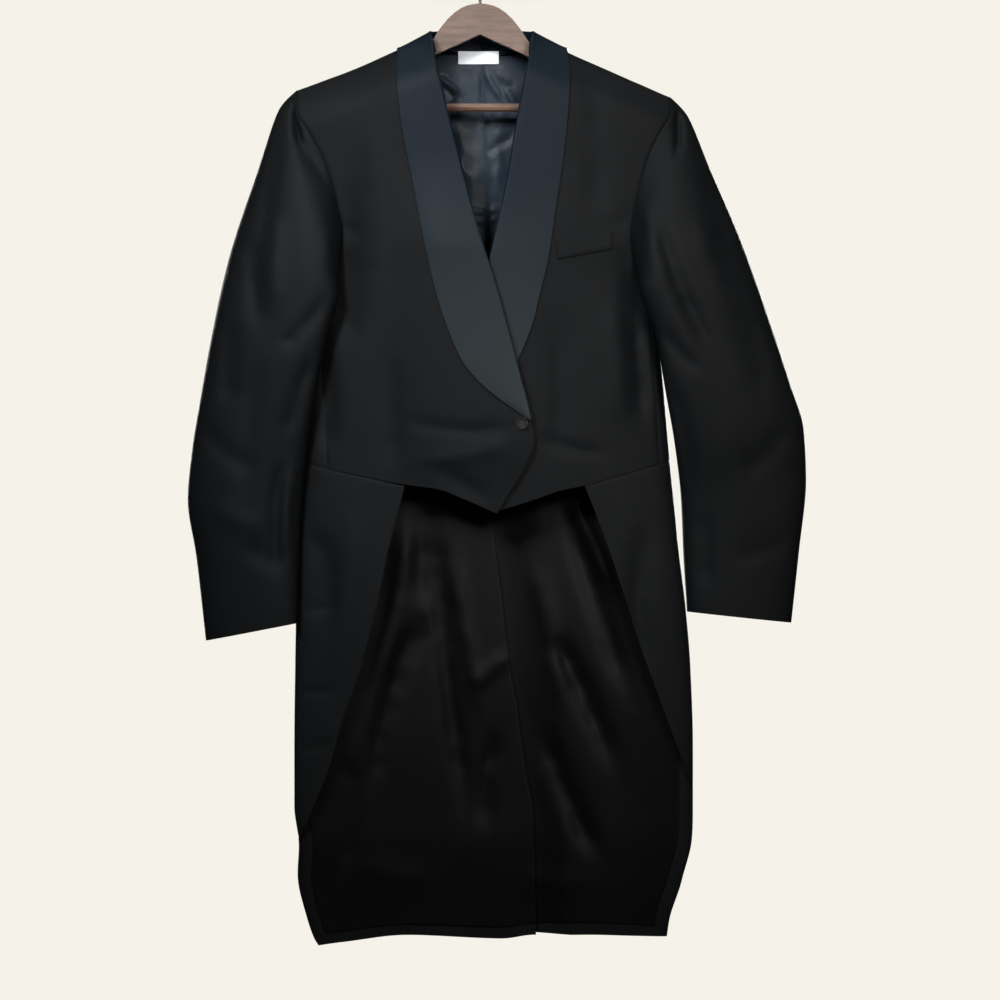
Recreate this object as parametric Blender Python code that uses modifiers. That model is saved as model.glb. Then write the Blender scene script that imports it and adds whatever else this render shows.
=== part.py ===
"""A white tie tailcoat with a satin shawl collar, hanging on a wooden hanger.

Metres, +Z up.  The origin is the top of the inside of the hanger's hook, the coat's front faces -Y,
and left and right are the wearer's, so right is at -X.  Every table is in millimetres.
"""
import math
from bisect import bisect_right

import bmesh
import bpy
from mathutils import Vector

MM = 0.001
RIGHT = -1
LEFT = 1
SIDE_NAME = {RIGHT: "right", LEFT: "left"}

# Cloth
WOOL = 2.4             # fused wool, lining not counted
SATIN = 1.6            # collar facing
LINING = 1.0
SEAM = 0.3             # room between two pieces sewn edge to edge
RIDGE_ROOM = 0.8       # how far front and back stand off the line of the shoulders
CURVE_ROOM = 1.3       # room at a seam whose two sides are curved by different rows
CORNER = 2.6           # how square the flattened body is, seen from above
SHOULDER_DROP = 55.0   # height over which the cloth rounds over the shoulders


def table(names, *rows):
    """Rows of numbers under named columns; the first column is the one that is read by."""
    return {name: [row[i] for row in rows] for i, name in enumerate(names.split())}


# The hanging body, by height: its middle, half its width, and how far front and back stand off
BODY = table(
    "height middle half front back",
    (-1165, 14, 204, 9, 11),
    (-1155, 12, 208, 9, 11),
    (-1130, 10, 214, 10, 12),
    (-1088, 12, 225, 11, 13),
    (-1040, 18, 230, 12, 14),
    (-1000, 16, 233, 14, 16),
    (-930, 16, 233, 17, 18),
    (-837, 15, 231, 21, 21),
    (-774, 13, 228, 25, 23),
    (-669, 8, 221, 31, 27),
    (-598, 8, 214, 36, 30),
    (-540, 7, 210, 40, 32),
    (-480, 8, 204, 43, 34),
    (-420, 8, 198, 45, 35),
    (-380, 8, 197, 46, 36),
    (-340, 8, 216, 47, 37),
    (-300, 8, 236, 47, 37),
    (-200, 5, 250, 45, 36),
    (-90, 2, 255, 41, 34),
)
# The top of the shoulders, by distance from the middle
SHOULDER = table(
    "across right left",
    (0, -45, -45),
    (40, -78, -78),
    (57, -99, -100),
    (103, -118, -121),
    (147, -136, -139),
    (193, -152, -158),
    (205, -156, -163),
    (220, -161, -169),
)
# The armhole's front and back, by height, as distances from the middle
ARMHOLE = table(
    "height front back",
    (-380, 197, 197),
    (-370, 187, 190),
    (-357, 174, 182),
    (-345, 168, 178),
    (-328, 167, 175),
    (-305, 171, 175),
    (-275, 178, 183),
    (-241, 189, 193),
    (-212, 204, 203),
    (-186, 218, 213),
    (-166, 217, 217),
)
UNDERARM = -380
# How far down the armhole the sleeve's ring is, by degrees from its top through the front
RING = table(
    "degrees down",
    (0, 0), (20, 0.03), (40, 0.11), (60, 0.235), (80, 0.37), (100, 0.505), (120, 0.64), (140, 0.765),
    (160, 0.845), (180, 0.90), (200, 0.955), (220, 1), (240, 0.965), (260, 0.865), (280, 0.72),
    (300, 0.55), (320, 0.34), (340, 0.13), (360, 0),
)
RING_STEP = 20
RING_UNDERARM = 220
SIDE_SEAM_RING = 200
BACK_SEAM_RING = 280
# Seam between forepart and sidebody, as distances from the middle
SIDE_SEAM = table(
    "height right left",
    (-604, 186, 202),
    (-535, 188, 199),
    (-497, 193, 195),
    (-420, 190, 190),
    (-370, 187, 187),
)
# Seam between back and sidebody, then between back tail and skirt
BACK_SEAM = table(
    "height across",
    (-1165, 96),
    (-900, 86),
    (-700, 73),
    (-598, 64),
    (-500, 80),
    (-420, 116),
    (-360, 150),
    (-318, 175),
)
# The foreparts' lower edge: the waist seam out to the side, and free between the skirts
WAIST = {
    RIGHT: table("across height", (-208, -598), (-180, -604), (-128, -615), (-87, -623),
                 (-50, -628), (-21, -639), (20, -657)),
    LEFT: table("across height", (18, -655), (65, -640), (94, -630), (122, -624),
                (170, -610), (224, -595)),
}
WAIST_BACK = -592      # the waist seam's height where it meets the back seam
# The foreparts' front edge: cut away below the button, then the roll of the lapel
FRONT_EDGE = {
    RIGHT: table("height across", (-657, 20), (-567, 63), (-549, 60), (-482, 43), (-392, 19),
                 (-329, -1), (-266, -18), (-208, -33), (-154, -46), (-120, -55), (-98, -60)),
    LEFT: table("height across", (-655, 18), (-567, -24), (-549, -27), (-482, -18), (-392, 4),
                (-335, 17), (-266, 32), (-206, 42), (-143, 54), (-120, 58), (-98, 63)),
}
FRONT_CORNER = -567    # where the front edge turns, just below the button
# The shawl collar's outer edge
COLLAR_EDGE = {
    RIGHT: table("height across", (-549, 58), (-536, 41), (-522, 21), (-502, -2), (-480, -20),
                 (-436, -39), (-405, -49), (-334, -66), (-271, -78), (-198, -92), (-160, -96),
                 (-120, -99)),
    LEFT: table("height across", (-549, -23), (-536, -7), (-522, 13), (-502, 31), (-480, 43),
                (-433, 62), (-400, 70), (-358, 80), (-310, 87), (-227, 99), (-153, 105),
                (-122, 106)),
}
# The collar round the neck: its fold, its outer edge and its foot, from beside the neck to the back
NECK = table(
    "step fold_x fold_y fold_z edge_x edge_y edge_z foot_x foot_y foot_z",
    (0, 57, -39, -119, 98.5, -23, -117, 54, -35.5, -120.5),
    (1, 58.5, -29, -101.5, 100, -8, -111.5, 56, -26, -107),
    (2, 60, -12, -92.5, 101, 5, -112, 60, -10, -97.5),
    (3, 60, 3, -90, 99, 18, -118.5, 60, 3, -96.5),
    (4, 57, 18, -89, 92, 27.5, -125, 55, 17, -101),
    (5, 43, 29, -87, 72, 37, -131, 40, 26.5, -110),
    (6, 22, 33.5, -86, 38, 40.5, -136, 21, 29.5, -115.5),
    (7, 0, 34.5, -85, 0, 41, -138, 0, 30.6, -117),
)
NECK_STEPS = (0, 0.7, 1.4, 2.1, 3, 3.7, 4.4, 5.2, 6, 7)
LAPEL_HEIGHTS = (-547, -538, -520, -500, -480, -455, -425, -390, -350, -305, -255, -205, -170, -150,
                 -136)
# The skirts' front edge, from the waist seam to where it reaches the side
SKIRT_EDGE = {
    RIGHT: table("height across", (-1040, -213), (-998, -194), (-950, -175), (-905, -163),
                 (-841, -141), (-770, -122), (-695, -106), (-623, -87)),
    LEFT: table("height across", (-976, 249), (-924, 229), (-864, 207), (-804, 185),
                (-744, 166), (-669, 140), (-624, 122)),
}
HEM = table("across height", (-200, -1165), (-160, -1160), (-85, -1152), (25, -1155), (65, -1150),
            (125, -1150), (177, -1152), (222, -1154))
# The inner tail's free edge in the back vent
VENT = table("height across", (-1160, 66), (-1017, 63), (-969, 55), (-893, 45), (-815, 33),
             (-725, 23), (-661, 15), (-592, 8))
VENT_CORNER = -606     # just below the waist, where the outer tail has its full lap
VENT_LAP = 46          # how far the outer tail goes on behind the inner one
VENT_STEP = 6.4        # the outer tail's distance behind the inner one

NECK_HALF = 59
BACK_NECK = -114
BACK_LINING_HALF = 104
BACK_LINING_FOOT = -420
TAIL_LINING_TOP = -606
TAIL_LINING_RISE = 12     # above the hem
TAIL_ROWS = 12
BACK_COLUMNS = 7
HEM_AT_SEAM = -1153
WAIST_ROOM = 0.45
# Rows of a panel's grid near the shoulder seam, as shares of its height
SHOULDER_ROWS = [0.91, 0.94, 0.965, 0.985, 0.9965, 0.9996, 1]
BACK_SHOULDER_ROWS = [0.957, 0.972, 0.984, 0.9935, 0.9985, 0.9998, 1]

# Sleeves, by station from the armhole to the cuff: inner and outer edge, and depths off that line
SLEEVE = {
    RIGHT: table(
        "step in_x in_z in_y out_x out_z out_y front back",
        (1, -163, -362, -44, -233, -180, -3, 24, 52),
        (2, -163, -382, -48, -261, -259, -3, 33, 44),
        (3, -165, -402, -50, -295, -362, -2, 36, 31),
        (4, -180, -458, -47, -314, -450, -6, 34, 27),
        (5, -194, -524, -38, -327, -523, -6, 31, 25),
        (6, -203, -582, -27, -337, -584, -4, 30, 24),
        (7, -209, -642, -21, -342, -641, -3, 28, 23),
        (8, -212.5, -704, -19, -332, -708, -1, 26, 22),
        (9, -214.5, -785, -18, -321, -806, 2, 23, 21),
    ),
    LEFT: table(
        "step in_x in_z in_y out_x out_z out_y front back",
        (1, 181, -360, -44, 241, -188, -3, 24, 52),
        (2, 184, -378, -48, 271, -258, -3, 33, 44),
        (3, 187, -398, -50, 307, -342, -2, 36, 31),
        (4, 205, -446, -45, 334, -418, -6, 34, 27),
        (5, 218, -516, -37, 362, -503, -6, 31, 25),
        (6, 229, -576, -24, 379, -560, -4, 30, 24),
        (7, 237, -640, -6, 382, -620, 0, 28, 23),
        (8, 240, -704, 0, 374, -700, 3, 26, 22),
        (9, 244.5, -772, 3, 365, -785, 6, 24, 22),
    ),
}
SLEEVE_STEPS = (0, 0.5, 1, 1.6, 2.3, 3, 3.5, 4, 5, 6, 7, 8, 9)
SLEEVE_SEAM_INNER = 220   # degrees round the sleeve from its outer edge, through its front
SLEEVE_SEAM_OUTER = 320
SLEEVE_SEAM_ROOM = 0.7    # degrees
UNDERARM_SEAM_ROOM = (10, 7, 2, SLEEVE_SEAM_ROOM)   # the inner seam's, by station, then as the last
SLEEVE_ROUND = {"front": 2.2, "back_inner": 1.5, "back_outer": 2.0}
UNDERARM_STATIONS = 3     # under the arm the cloth goes straight from the armhole to this station
ARMHOLE_ROOM = 2.0        # the sleeve starts this far out from the body's armhole edge
UNDERARM_ROOM = 5.0       # and this far under the arm, where it passes outside the body

# Things that lie on a panel: distances from the panel's middle surface
LAPEL_EDGE_LIFT = 3.6
LAPEL_FOLD_LIFT = 7.3
LAPEL_RETURN_LIFT = 3.5
LAPEL_RETURN = 9          # width of the cloth turned back under the fold
FRONT_LAP = 10.5          # the right forepart's distance in front of the left one
LINING_IN = 3.0
LABEL_IN = 6.4

WELT_CORNERS = ((88, -341), (155, -328), (155, -349), (91, -361))
WELT_THICK = 1.8
LABEL_SPAN = (-26, 22, -126, -111)

BUTTON_AT = (49, -552)
BUTTON_RADIUS = 7.5
BUTTON_THICK = 2.6

# Hanger
WOOD_THICK = 13
WOOD_TOP = table("across height", (0, -58), (15, -60.5), (30, -69), (45, -85), (55, -100), (62, -109.5),
                 (78, -117), (99, -128), (140, -145), (175, -159), (192, -169))
WOOD_FOOT = table("across height", (0, -94.5), (55, -120), (99, -147), (140, -166), (149, -171),
                  (153, -184), (160, -191), (192, -193))
WOOD_ROUND = 2.0
BAR_HEIGHT = -180
BAR_RADIUS = 5
BAR_HALF = 149
HOOK_WIRE = 1.75
HOOK_RADIUS = 17          # inside
HOOK_DEPTH = 14           # how far the shank goes into the wood
HOOK_BORE = 40            # the drill's length, which reaches well above the wood

COLOURS = {
    "wool": ((0.013, 0.013, 0.014), 0.9, 0.0),
    "satin": ((0.030, 0.038, 0.046), 0.35, 0.0),
    "lining": ((0.045, 0.055, 0.068), 0.4, 0.0),
    "tail_lining": ((0.010, 0.010, 0.010), 0.5, 0.0),
    "label": ((0.75, 0.77, 0.80), 0.8, 0.0),
    "button": ((0.010, 0.010, 0.011), 0.3, 0.0),
    "wood": ((0.155, 0.085, 0.060), 0.45, 0.0),
    "steel": ((0.35, 0.35, 0.36), 0.3, 1.0),
}


# ---------------------------------------------------------------- reading tables and placing points
def slope(xs, ys, i):
    """The curve's slope at a row: none at a turn, so that it never overshoots a row."""
    before = (ys[i] - ys[i - 1]) / (xs[i] - xs[i - 1]) if i > 0 else None
    after = (ys[i + 1] - ys[i]) / (xs[i + 1] - xs[i]) if i + 1 < len(xs) else None
    if before is None or after is None:
        return before if after is None else after
    return 2 * before * after / (before + after) if before * after > 0 else 0.0


def read(rows, column, at):
    """A column's value at a place in the first column, smooth between rows and flat beyond them."""
    xs = next(iter(rows.values()))
    ys = rows[column]
    if at <= xs[0]:
        return ys[0]
    if at >= xs[-1]:
        return ys[-1]
    i = bisect_right(xs, at) - 1
    width = xs[i + 1] - xs[i]
    t = (at - xs[i]) / width
    a = slope(xs, ys, i) * width
    b = slope(xs, ys, i + 1) * width
    return (ys[i] * (2 * t**3 - 3 * t**2 + 1) + a * (t**3 - 2 * t**2 + t)
            + ys[i + 1] * (3 * t**2 - 2 * t**3) + b * (t**3 - t**2))


def mix(a, b, t):
    return a + (b - a) * t


def ease(low, high, at):
    """0 below low and 1 above high, with a smooth rise between."""
    t = min(1.0, max(0.0, (at - low) / (high - low)))
    return t * t * (3 - 2 * t)


def middle(z):
    return read(BODY, "middle", z)


def shoulder_round(x, z):
    """How the cloth closes towards the top of the shoulder: 0 on the shoulder line, 1 well below it."""
    side = LEFT if x > middle(z) else RIGHT
    below = read(SHOULDER, SIDE_NAME[side], abs(x - middle(z))) - z
    drop = 1 - min(1.0, max(0.0, below / SHOULDER_DROP))
    return math.sqrt(1 - drop * drop)


def rounding(x, z):
    """How far the cloth stands off at x, as a share of the most: less near the sides and the top."""
    u = min(1.0, abs(x - middle(z)) / read(BODY, "half", z))
    return (1 - u**CORNER) ** (1 / CORNER) * shoulder_round(x, z)


def front_y(x, z):
    return -read(BODY, "front", z) * rounding(x, z)


def back_y(x, z):
    return read(BODY, "back", z) * rounding(x, z)


def inside_back_y(x, z, inset):
    """The back's inner side, moved in by an inset that also narrows it."""
    u = min(1.0, abs(x - middle(z)) / (read(BODY, "half", z) - 1.5 * inset))
    stand_off = (1 - u**CORNER) ** (1 / CORNER) * shoulder_round(x, z + 2 * inset)
    return (read(BODY, "back", z) - inset) * stand_off


def wrap(side, angle, z):
    """A point on the body: 0 degrees is the middle of the front, 90 the side, 180 the back."""
    turn = math.radians(angle)
    x = middle(z) + side * read(BODY, "half", z) * math.sin(turn) ** (2 / CORNER)
    stand_off = abs(math.cos(turn)) ** (2 / CORNER) * shoulder_round(x, z)
    if angle < 90:
        return Vector((x, -read(BODY, "front", z) * stand_off, z))
    return Vector((x, read(BODY, "back", z) * stand_off, z))


def angle_of(across, z, on_back):
    """The angle at which the body is this far from its middle."""
    share = min(1.0, across / read(BODY, "half", z))
    angle = math.degrees(math.asin(share ** (CORNER / 2)))
    return 180 - angle if on_back else angle


def spaced(start, end, count):
    return [mix(start, end, i / (count - 1)) for i in range(count)]


# ---------------------------------------------------------------- making objects
def clear_scene():
    for thing in list(bpy.data.objects):
        bpy.data.objects.remove(thing)


def collection(name):
    made = bpy.data.collections.new(name)
    bpy.context.scene.collection.children.link(made)
    return made


def material(name):
    found = bpy.data.materials.get(name)
    if found:
        return found
    colour, rough, metal = COLOURS[name]
    made = bpy.data.materials.new(name)
    made.use_nodes = True
    shader = made.node_tree.nodes["Principled BSDF"]
    shader.inputs["Base Color"].default_value = (*colour, 1)
    shader.inputs["Roughness"].default_value = rough
    shader.inputs["Metallic"].default_value = metal
    return made


def place(name, data, parts, finish):
    made = bpy.data.objects.new(name, data)
    made.data.materials.append(material(finish))
    parts.objects.link(made)
    return made


def cloth(name, rows, thickness, parts, finish):
    """A panel: a grid whose vertices go to the given rows of points, made a wall by Solidify."""
    across = len(rows[0])
    work = bmesh.new()
    bmesh.ops.create_grid(work, x_segments=across - 1, y_segments=len(rows) - 1, size=0.5)
    work.verts.ensure_lookup_table()
    for vertex in work.verts:
        column = round((vertex.co.x + 0.5) * (across - 1))
        row = round((vertex.co.y + 0.5) * (len(rows) - 1))
        vertex.co = rows[row][column] * MM
    mesh = bpy.data.meshes.new(name)
    work.to_mesh(mesh)
    work.free()
    mesh.shade_smooth()
    made = place(name, mesh, parts, finish)
    wall = made.modifiers.new("wall", "SOLIDIFY")
    wall.thickness = thickness * MM
    wall.offset = 0
    return made


def panel(low, high, inner, outer, count_across, heights):
    """Points (x, z) between four edges: low and high run across, inner and outer run up."""
    rows = []
    for v in heights:
        row = []
        for u in spaced(0, 1, count_across):
            ruled = [mix(inner(v)[k], outer(v)[k], u) for k in (0, 1)]
            for k in (0, 1):
                ruled[k] += (1 - v) ** 3 * (low(u)[k] - mix(low(0)[k], low(1)[k], u))
                ruled[k] += v**3 * (high(u)[k] - mix(high(0)[k], high(1)[k], u))
            row.append(tuple(ruled))
        rows.append(row)
    return rows


# ---------------------------------------------------------------- body
def shoulder_height(side, across):
    return read(SHOULDER, SIDE_NAME[side], across)


def armhole_height(side, degrees):
    return mix(shoulder_height(side, ARMHOLE["front"][-1]), UNDERARM, read(RING, "down", degrees))


def forepart_y(side, x, z):
    """The forepart's middle surface: the right one stands in front where it laps over the left."""
    if side == LEFT:
        return front_y(x, z) - RIDGE_ROOM
    over = ease(-125, -40, x) * ease(-230, -352, z)
    return front_y(x, z) - RIDGE_ROOM - over * mix(FRONT_LAP * 0.6, FRONT_LAP, ease(-640, -575, z))


def forepart_outer(side, z):
    """The forepart's outer edge: the side seam, then the front of the armhole."""
    seam_top = armhole_height(side, SIDE_SEAM_RING)
    across = read(SIDE_SEAM, SIDE_NAME[side], z) if z < seam_top else read(ARMHOLE, "front", z)
    return middle(z) + side * (across - SEAM)


def forepart(side, parts):
    edge = FRONT_EDGE[side]
    point, neck = edge["height"][0], edge["height"][-1]
    low_out = read(WAIST[side], "height", forepart_outer(side, SIDE_SEAM["height"][0])) + WAIST_ROOM
    shoulder_end = ARMHOLE["front"][-1] - SEAM
    high_out = shoulder_height(side, shoulder_end)

    def inner(v):
        z = mix(point, neck, v)
        under_fold = 2.5 * ease(-562, -545, z)
        return read(edge, "across", z) + side * under_fold, z

    def outer(v):
        z = mix(low_out, high_out, v)
        return forepart_outer(side, z), z

    def low(u):
        x = mix(inner(0)[0], outer(0)[0], u)
        return x, read(WAIST[side], "height", x) + WAIST_ROOM * ease(0, 0.3, u)

    def high(u):
        across = mix(abs(inner(1)[0] - middle(neck)), shoulder_end, u)
        return middle(neck) + side * across, shoulder_height(side, across)

    def share(z):
        return (z - low_out) / (high_out - low_out)

    seam_top = armhole_height(side, SIDE_SEAM_RING)
    heights = [0, 0.08, (FRONT_CORNER - point) / (neck - point)]
    heights += [share(z) for z in spaced(-497, seam_top, 5)]
    heights += [share(armhole_height(side, degrees)) for degrees in range(180, 40, -RING_STEP)]
    heights += SHOULDER_ROWS
    rows = [[Vector((x, forepart_y(side, x, z), z)) for x, z in row]
            for row in panel(low, high, inner, outer, 9, heights)]
    return cloth(f"forepart_{SIDE_NAME[side]}", rows, WOOL, parts, "wool")


def seam_angle(side, z, on_back):
    if on_back:
        return angle_of(read(BACK_SEAM, "across", z) + SEAM, z, True)
    return angle_of(read(SIDE_SEAM, SIDE_NAME[side], z) + SEAM, z, False)


def waist_height(side, angle):
    """The waist seam: as the forepart's lower edge in front, then level round the side to the back."""
    x = wrap(side, min(angle, 90), -600).x
    return mix(read(WAIST[side], "height", x), WAIST_BACK, ease(90, 170, angle))


def underarm_rows(side):
    """The armhole's lower part as angles round the body and heights, front to back."""
    front_low = armhole_height(side, SIDE_SEAM_RING)
    back_low = armhole_height(side, BACK_SEAM_RING)
    front = [(angle_of(read(ARMHOLE, "front", z), z, False), z) for z in spaced(front_low, UNDERARM, 5)]
    back = [(angle_of(read(ARMHOLE, "back", z), z, True), z) for z in spaced(UNDERARM, back_low, 7)]
    return table("angle height", *(front + back[1:]))


def sidebody(side, parts):
    underarm = underarm_rows(side)
    front_low = waist_height(side, seam_angle(side, -600, False)) + WAIST_ROOM
    front_high = armhole_height(side, SIDE_SEAM_RING) - SEAM
    back_high = armhole_height(side, BACK_SEAM_RING) - SEAM

    def inner(v):
        z = mix(front_low, front_high, v)
        return seam_angle(side, z, False), z

    def outer(v):
        z = mix(WAIST_BACK + WAIST_ROOM, back_high, v)
        return seam_angle(side, z, True), z

    def low(u):
        angle = mix(inner(0)[0], outer(0)[0], u)
        return angle, waist_height(side, angle) + WAIST_ROOM

    def high(u):
        angle = mix(inner(1)[0], outer(1)[0], u)
        return angle, read(underarm, "height", angle) - SEAM

    rows = [[wrap(side, angle, z) for angle, z in row]
            for row in panel(low, high, inner, outer, 10, spaced(0, 1, 8))]
    return cloth(f"sidebody_{SIDE_NAME[side]}", rows, WOOL, parts, "wool")


def vent_lap(side, x, z):
    """How far behind the middle surface a tail hangs: the left one passes behind the right one."""
    if side == RIGHT:
        return 0.0
    free = 1 - ease(read(VENT, "across", z) + 2, middle(z) + read(BACK_SEAM, "across", z) - 2, x)
    return VENT_STEP * free * ease(-565, VENT_CORNER, z)


def vent_edge(side, z):
    if z > WAIST_BACK - 1:
        return middle(z) + side * SEAM
    if side == RIGHT:
        return read(VENT, "across", z)
    return read(VENT, "across", z) - VENT_LAP * ease(WAIST_BACK, VENT_CORNER, z)


def back_outer(side, z):
    seam_top = armhole_height(side, BACK_SEAM_RING)
    across = read(BACK_SEAM, "across", z) if z < seam_top else read(ARMHOLE, "back", z)
    return middle(z) + side * (across - CURVE_ROOM)


def back_neck_height(side, across):
    """The back's top edge: the neck seam, then the shoulder seam."""
    if across > NECK_HALF:
        return shoulder_height(side, across)
    return mix(BACK_NECK, shoulder_height(side, NECK_HALF), (across / NECK_HALF) ** 2)


def tail_heights():
    """Heights of the rows from hem to waist, which back, skirt and tail lining share."""
    return spaced(HEM_AT_SEAM, VENT_CORNER, TAIL_ROWS - 1) + [WAIST_BACK]


def back(side, parts):
    shoulder_end = ARMHOLE["back"][-1] - SEAM
    high_out = shoulder_height(side, shoulder_end)

    def inner(v):
        z = mix(HEM_AT_SEAM, high_out, v)
        above_waist = max(0, (z - WAIST_BACK) / (high_out - WAIST_BACK))
        z += above_waist * (BACK_NECK - high_out)
        return vent_edge(side, z), z

    def outer(v):
        z = mix(HEM_AT_SEAM, high_out, v)
        return back_outer(side, z), z

    def low(u):
        x = mix(inner(0)[0], outer(0)[0], u)
        return x, read(HEM, "height", x)

    def high(u):
        across = mix(SEAM, shoulder_end, u)
        return middle(BACK_NECK) + side * across, back_neck_height(side, across)

    back_high = armhole_height(side, BACK_SEAM_RING)
    levels = tail_heights() + spaced(WAIST_BACK, back_high, 7)[1:]
    levels += [armhole_height(side, degrees) for degrees in (BACK_SEAM_RING + 20, BACK_SEAM_RING + 40)]
    heights = [(z - HEM_AT_SEAM) / (high_out - HEM_AT_SEAM) for z in levels] + BACK_SHOULDER_ROWS
    rows = [[Vector((x, back_y(x, z) + RIDGE_ROOM + vent_lap(side, x, z), z)) for x, z in row]
            for row in panel(low, high, inner, outer, BACK_COLUMNS, heights)]
    return cloth(f"back_{SIDE_NAME[side]}", rows, WOOL, parts, "wool")


def skirt(side, parts):
    edge = SKIRT_EDGE[side]
    edge_top = edge["height"][-1] - WAIST_ROOM
    side_hem = read(HEM, "height", middle(-1155) + side * read(BODY, "half", -1155))

    def inner(v):
        z = mix(side_hem, edge_top, v)
        if z < edge["height"][0]:
            return mix(90, 97, ease(edge["height"][0], side_hem, z)), z
        return angle_of(abs(read(edge, "across", z) - middle(z)), z, False), z

    def outer(v):
        z = mix(HEM_AT_SEAM, WAIST_BACK - WAIST_ROOM, v)
        return seam_angle(side, z, True), z

    def low(u):
        angle = mix(inner(0)[0], outer(0)[0], u)
        return angle, read(HEM, "height", wrap(side, angle, -1155).x)

    def high(u):
        angle = mix(inner(1)[0], outer(1)[0], u)
        return angle, waist_height(side, angle) - WAIST_ROOM

    shares = [(z - HEM_AT_SEAM) / (WAIST_BACK - HEM_AT_SEAM) for z in tail_heights()]
    rows = [[wrap(side, angle, z) for angle, z in row] for row in panel(low, high, inner, outer, 12, shares)]
    return cloth(f"skirt_{SIDE_NAME[side]}", rows, WOOL, parts, "wool")


# ---------------------------------------------------------------- sleeves
def armhole_point(side, degrees):
    """The sleeve's first ring, from the shoulder's end down the front, under the arm and up the back."""
    z = armhole_height(side, degrees)
    at_front = degrees < RING_UNDERARM
    x = middle(z) + side * read(ARMHOLE, "front" if at_front else "back", z)
    y = front_y(x, z) if at_front else back_y(x, z)
    under = ease(125, 185, degrees) * (1 - ease(245, 290, degrees))
    room = mix(ARMHOLE_ROOM, UNDERARM_ROOM, under)
    return Vector((x + side * room, y, z - ARMHOLE_ROOM * under))


def sleeve_point(side, station, degrees):
    """A point of a flattened ring between the sleeve's outer edge, at 0 degrees, and its inner edge."""
    if station == 0:
        return armhole_point(side, degrees)
    row = {name: column[station - 1] for name, column in SLEEVE[side].items()}
    inner = Vector((row["in_x"], row["in_y"], row["in_z"]))
    outer = Vector((row["out_x"], row["out_y"], row["out_z"]))
    turn = math.radians(degrees)
    if degrees <= 180:
        power = SLEEVE_ROUND["front"]
    else:
        power = SLEEVE_ROUND["back_inner" if degrees < 270 else "back_outer"]
    along = math.copysign(abs(math.cos(turn)) ** (2 / power), math.cos(turn))
    off = abs(math.sin(turn)) ** (2 / power) * (-row["front"] if degrees <= 180 else row["back"])
    point = (inner + outer) / 2 + (outer - inner) / 2 * along + Vector((0, off, 0))
    if station >= UNDERARM_STATIONS:
        return point
    under = ease(125, 165, degrees) * (1 - ease(255, 300, degrees))
    far = sleeve_point(side, UNDERARM_STATIONS, degrees)
    return point.lerp(armhole_point(side, degrees).lerp(far, station / UNDERARM_STATIONS), under)


def sleeve_half(name, side, start, end, parts):
    """One of the sleeve's two pieces: its columns follow the armhole ring's own steps."""
    columns = []
    for degrees in spaced(start, end, 1 + (end - start) // RING_STEP):
        inwards = (degrees == start) - (degrees == end)
        points = []
        for station in range(10):
            room = SLEEVE_SEAM_ROOM
            if degrees == SLEEVE_SEAM_INNER:
                room = UNDERARM_SEAM_ROOM[min(station, len(UNDERARM_SEAM_ROOM) - 1)]
            points.append(sleeve_point(side, station, (degrees + inwards * room) % 360))
        line = table("step x y z", *((i, *point) for i, point in enumerate(points)))
        columns.append([Vector([read(line, axis, step) for axis in "xyz"]) for step in SLEEVE_STEPS])
    rows = [list(row) for row in zip(*columns)]
    return cloth(f"{name}_{SIDE_NAME[side]}", rows, WOOL, parts, "wool")


def sleeve(side, parts):
    sleeve_half("topsleeve", side, SLEEVE_SEAM_OUTER - 360, SLEEVE_SEAM_INNER, parts)
    sleeve_half("undersleeve", side, SLEEVE_SEAM_INNER, SLEEVE_SEAM_OUTER, parts)


# ---------------------------------------------------------------- collar
def lapel_row(side, z):
    """Across the lapel at one height: outer edge, fall, fold, and the cloth turned back under it."""
    edge = read(COLLAR_EDGE[side], "across", z)
    fold = read(FRONT_EDGE[side], "across", z)
    width = abs(edge - fold)
    fold_in = fold + side * min(2.0, width * 0.25)
    turned = fold + side * min(LAPEL_RETURN, width * 0.6)
    places = [(mix(edge, fold_in, t), mix(LAPEL_EDGE_LIFT, LAPEL_FOLD_LIFT, t)) for t in spaced(0, 1, 5)]
    places.append((fold, (LAPEL_FOLD_LIFT + LAPEL_RETURN_LIFT) / 2))
    places += [(fold_in, LAPEL_RETURN_LIFT), (turned, LAPEL_RETURN_LIFT)]
    return [Vector((x, forepart_y(side, x, z) - lift, z)) for x, lift in places]


def neck_row(side, step):
    """Across the collar beside and behind the neck: outer edge, fall, fold and stand."""
    def point(name):
        x, y, z = (read(NECK, f"{name}_{axis}", step) for axis in "xyz")
        return Vector((middle(z) + side * max(x, SEAM / 2), y, z))
    edge, fold, foot = point("edge"), point("fold"), point("foot")
    outside = fold + (edge - fold).normalized() * 2.2
    inside = fold + (foot - fold).normalized() * 2.2
    swell = (edge - foot).normalized() * 1.5
    fall = [edge.lerp(outside, t) + swell * (4 * t * (1 - t)) for t in (0, 0.25, 0.5, 0.75, 1)]
    return fall + [fold, inside, foot]


def collar(side, parts):
    rows = [lapel_row(side, z) for z in LAPEL_HEIGHTS]
    rows += [neck_row(side, step) for step in NECK_STEPS]
    return cloth(f"collar_{SIDE_NAME[side]}", rows, SATIN, parts, "satin")


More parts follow.
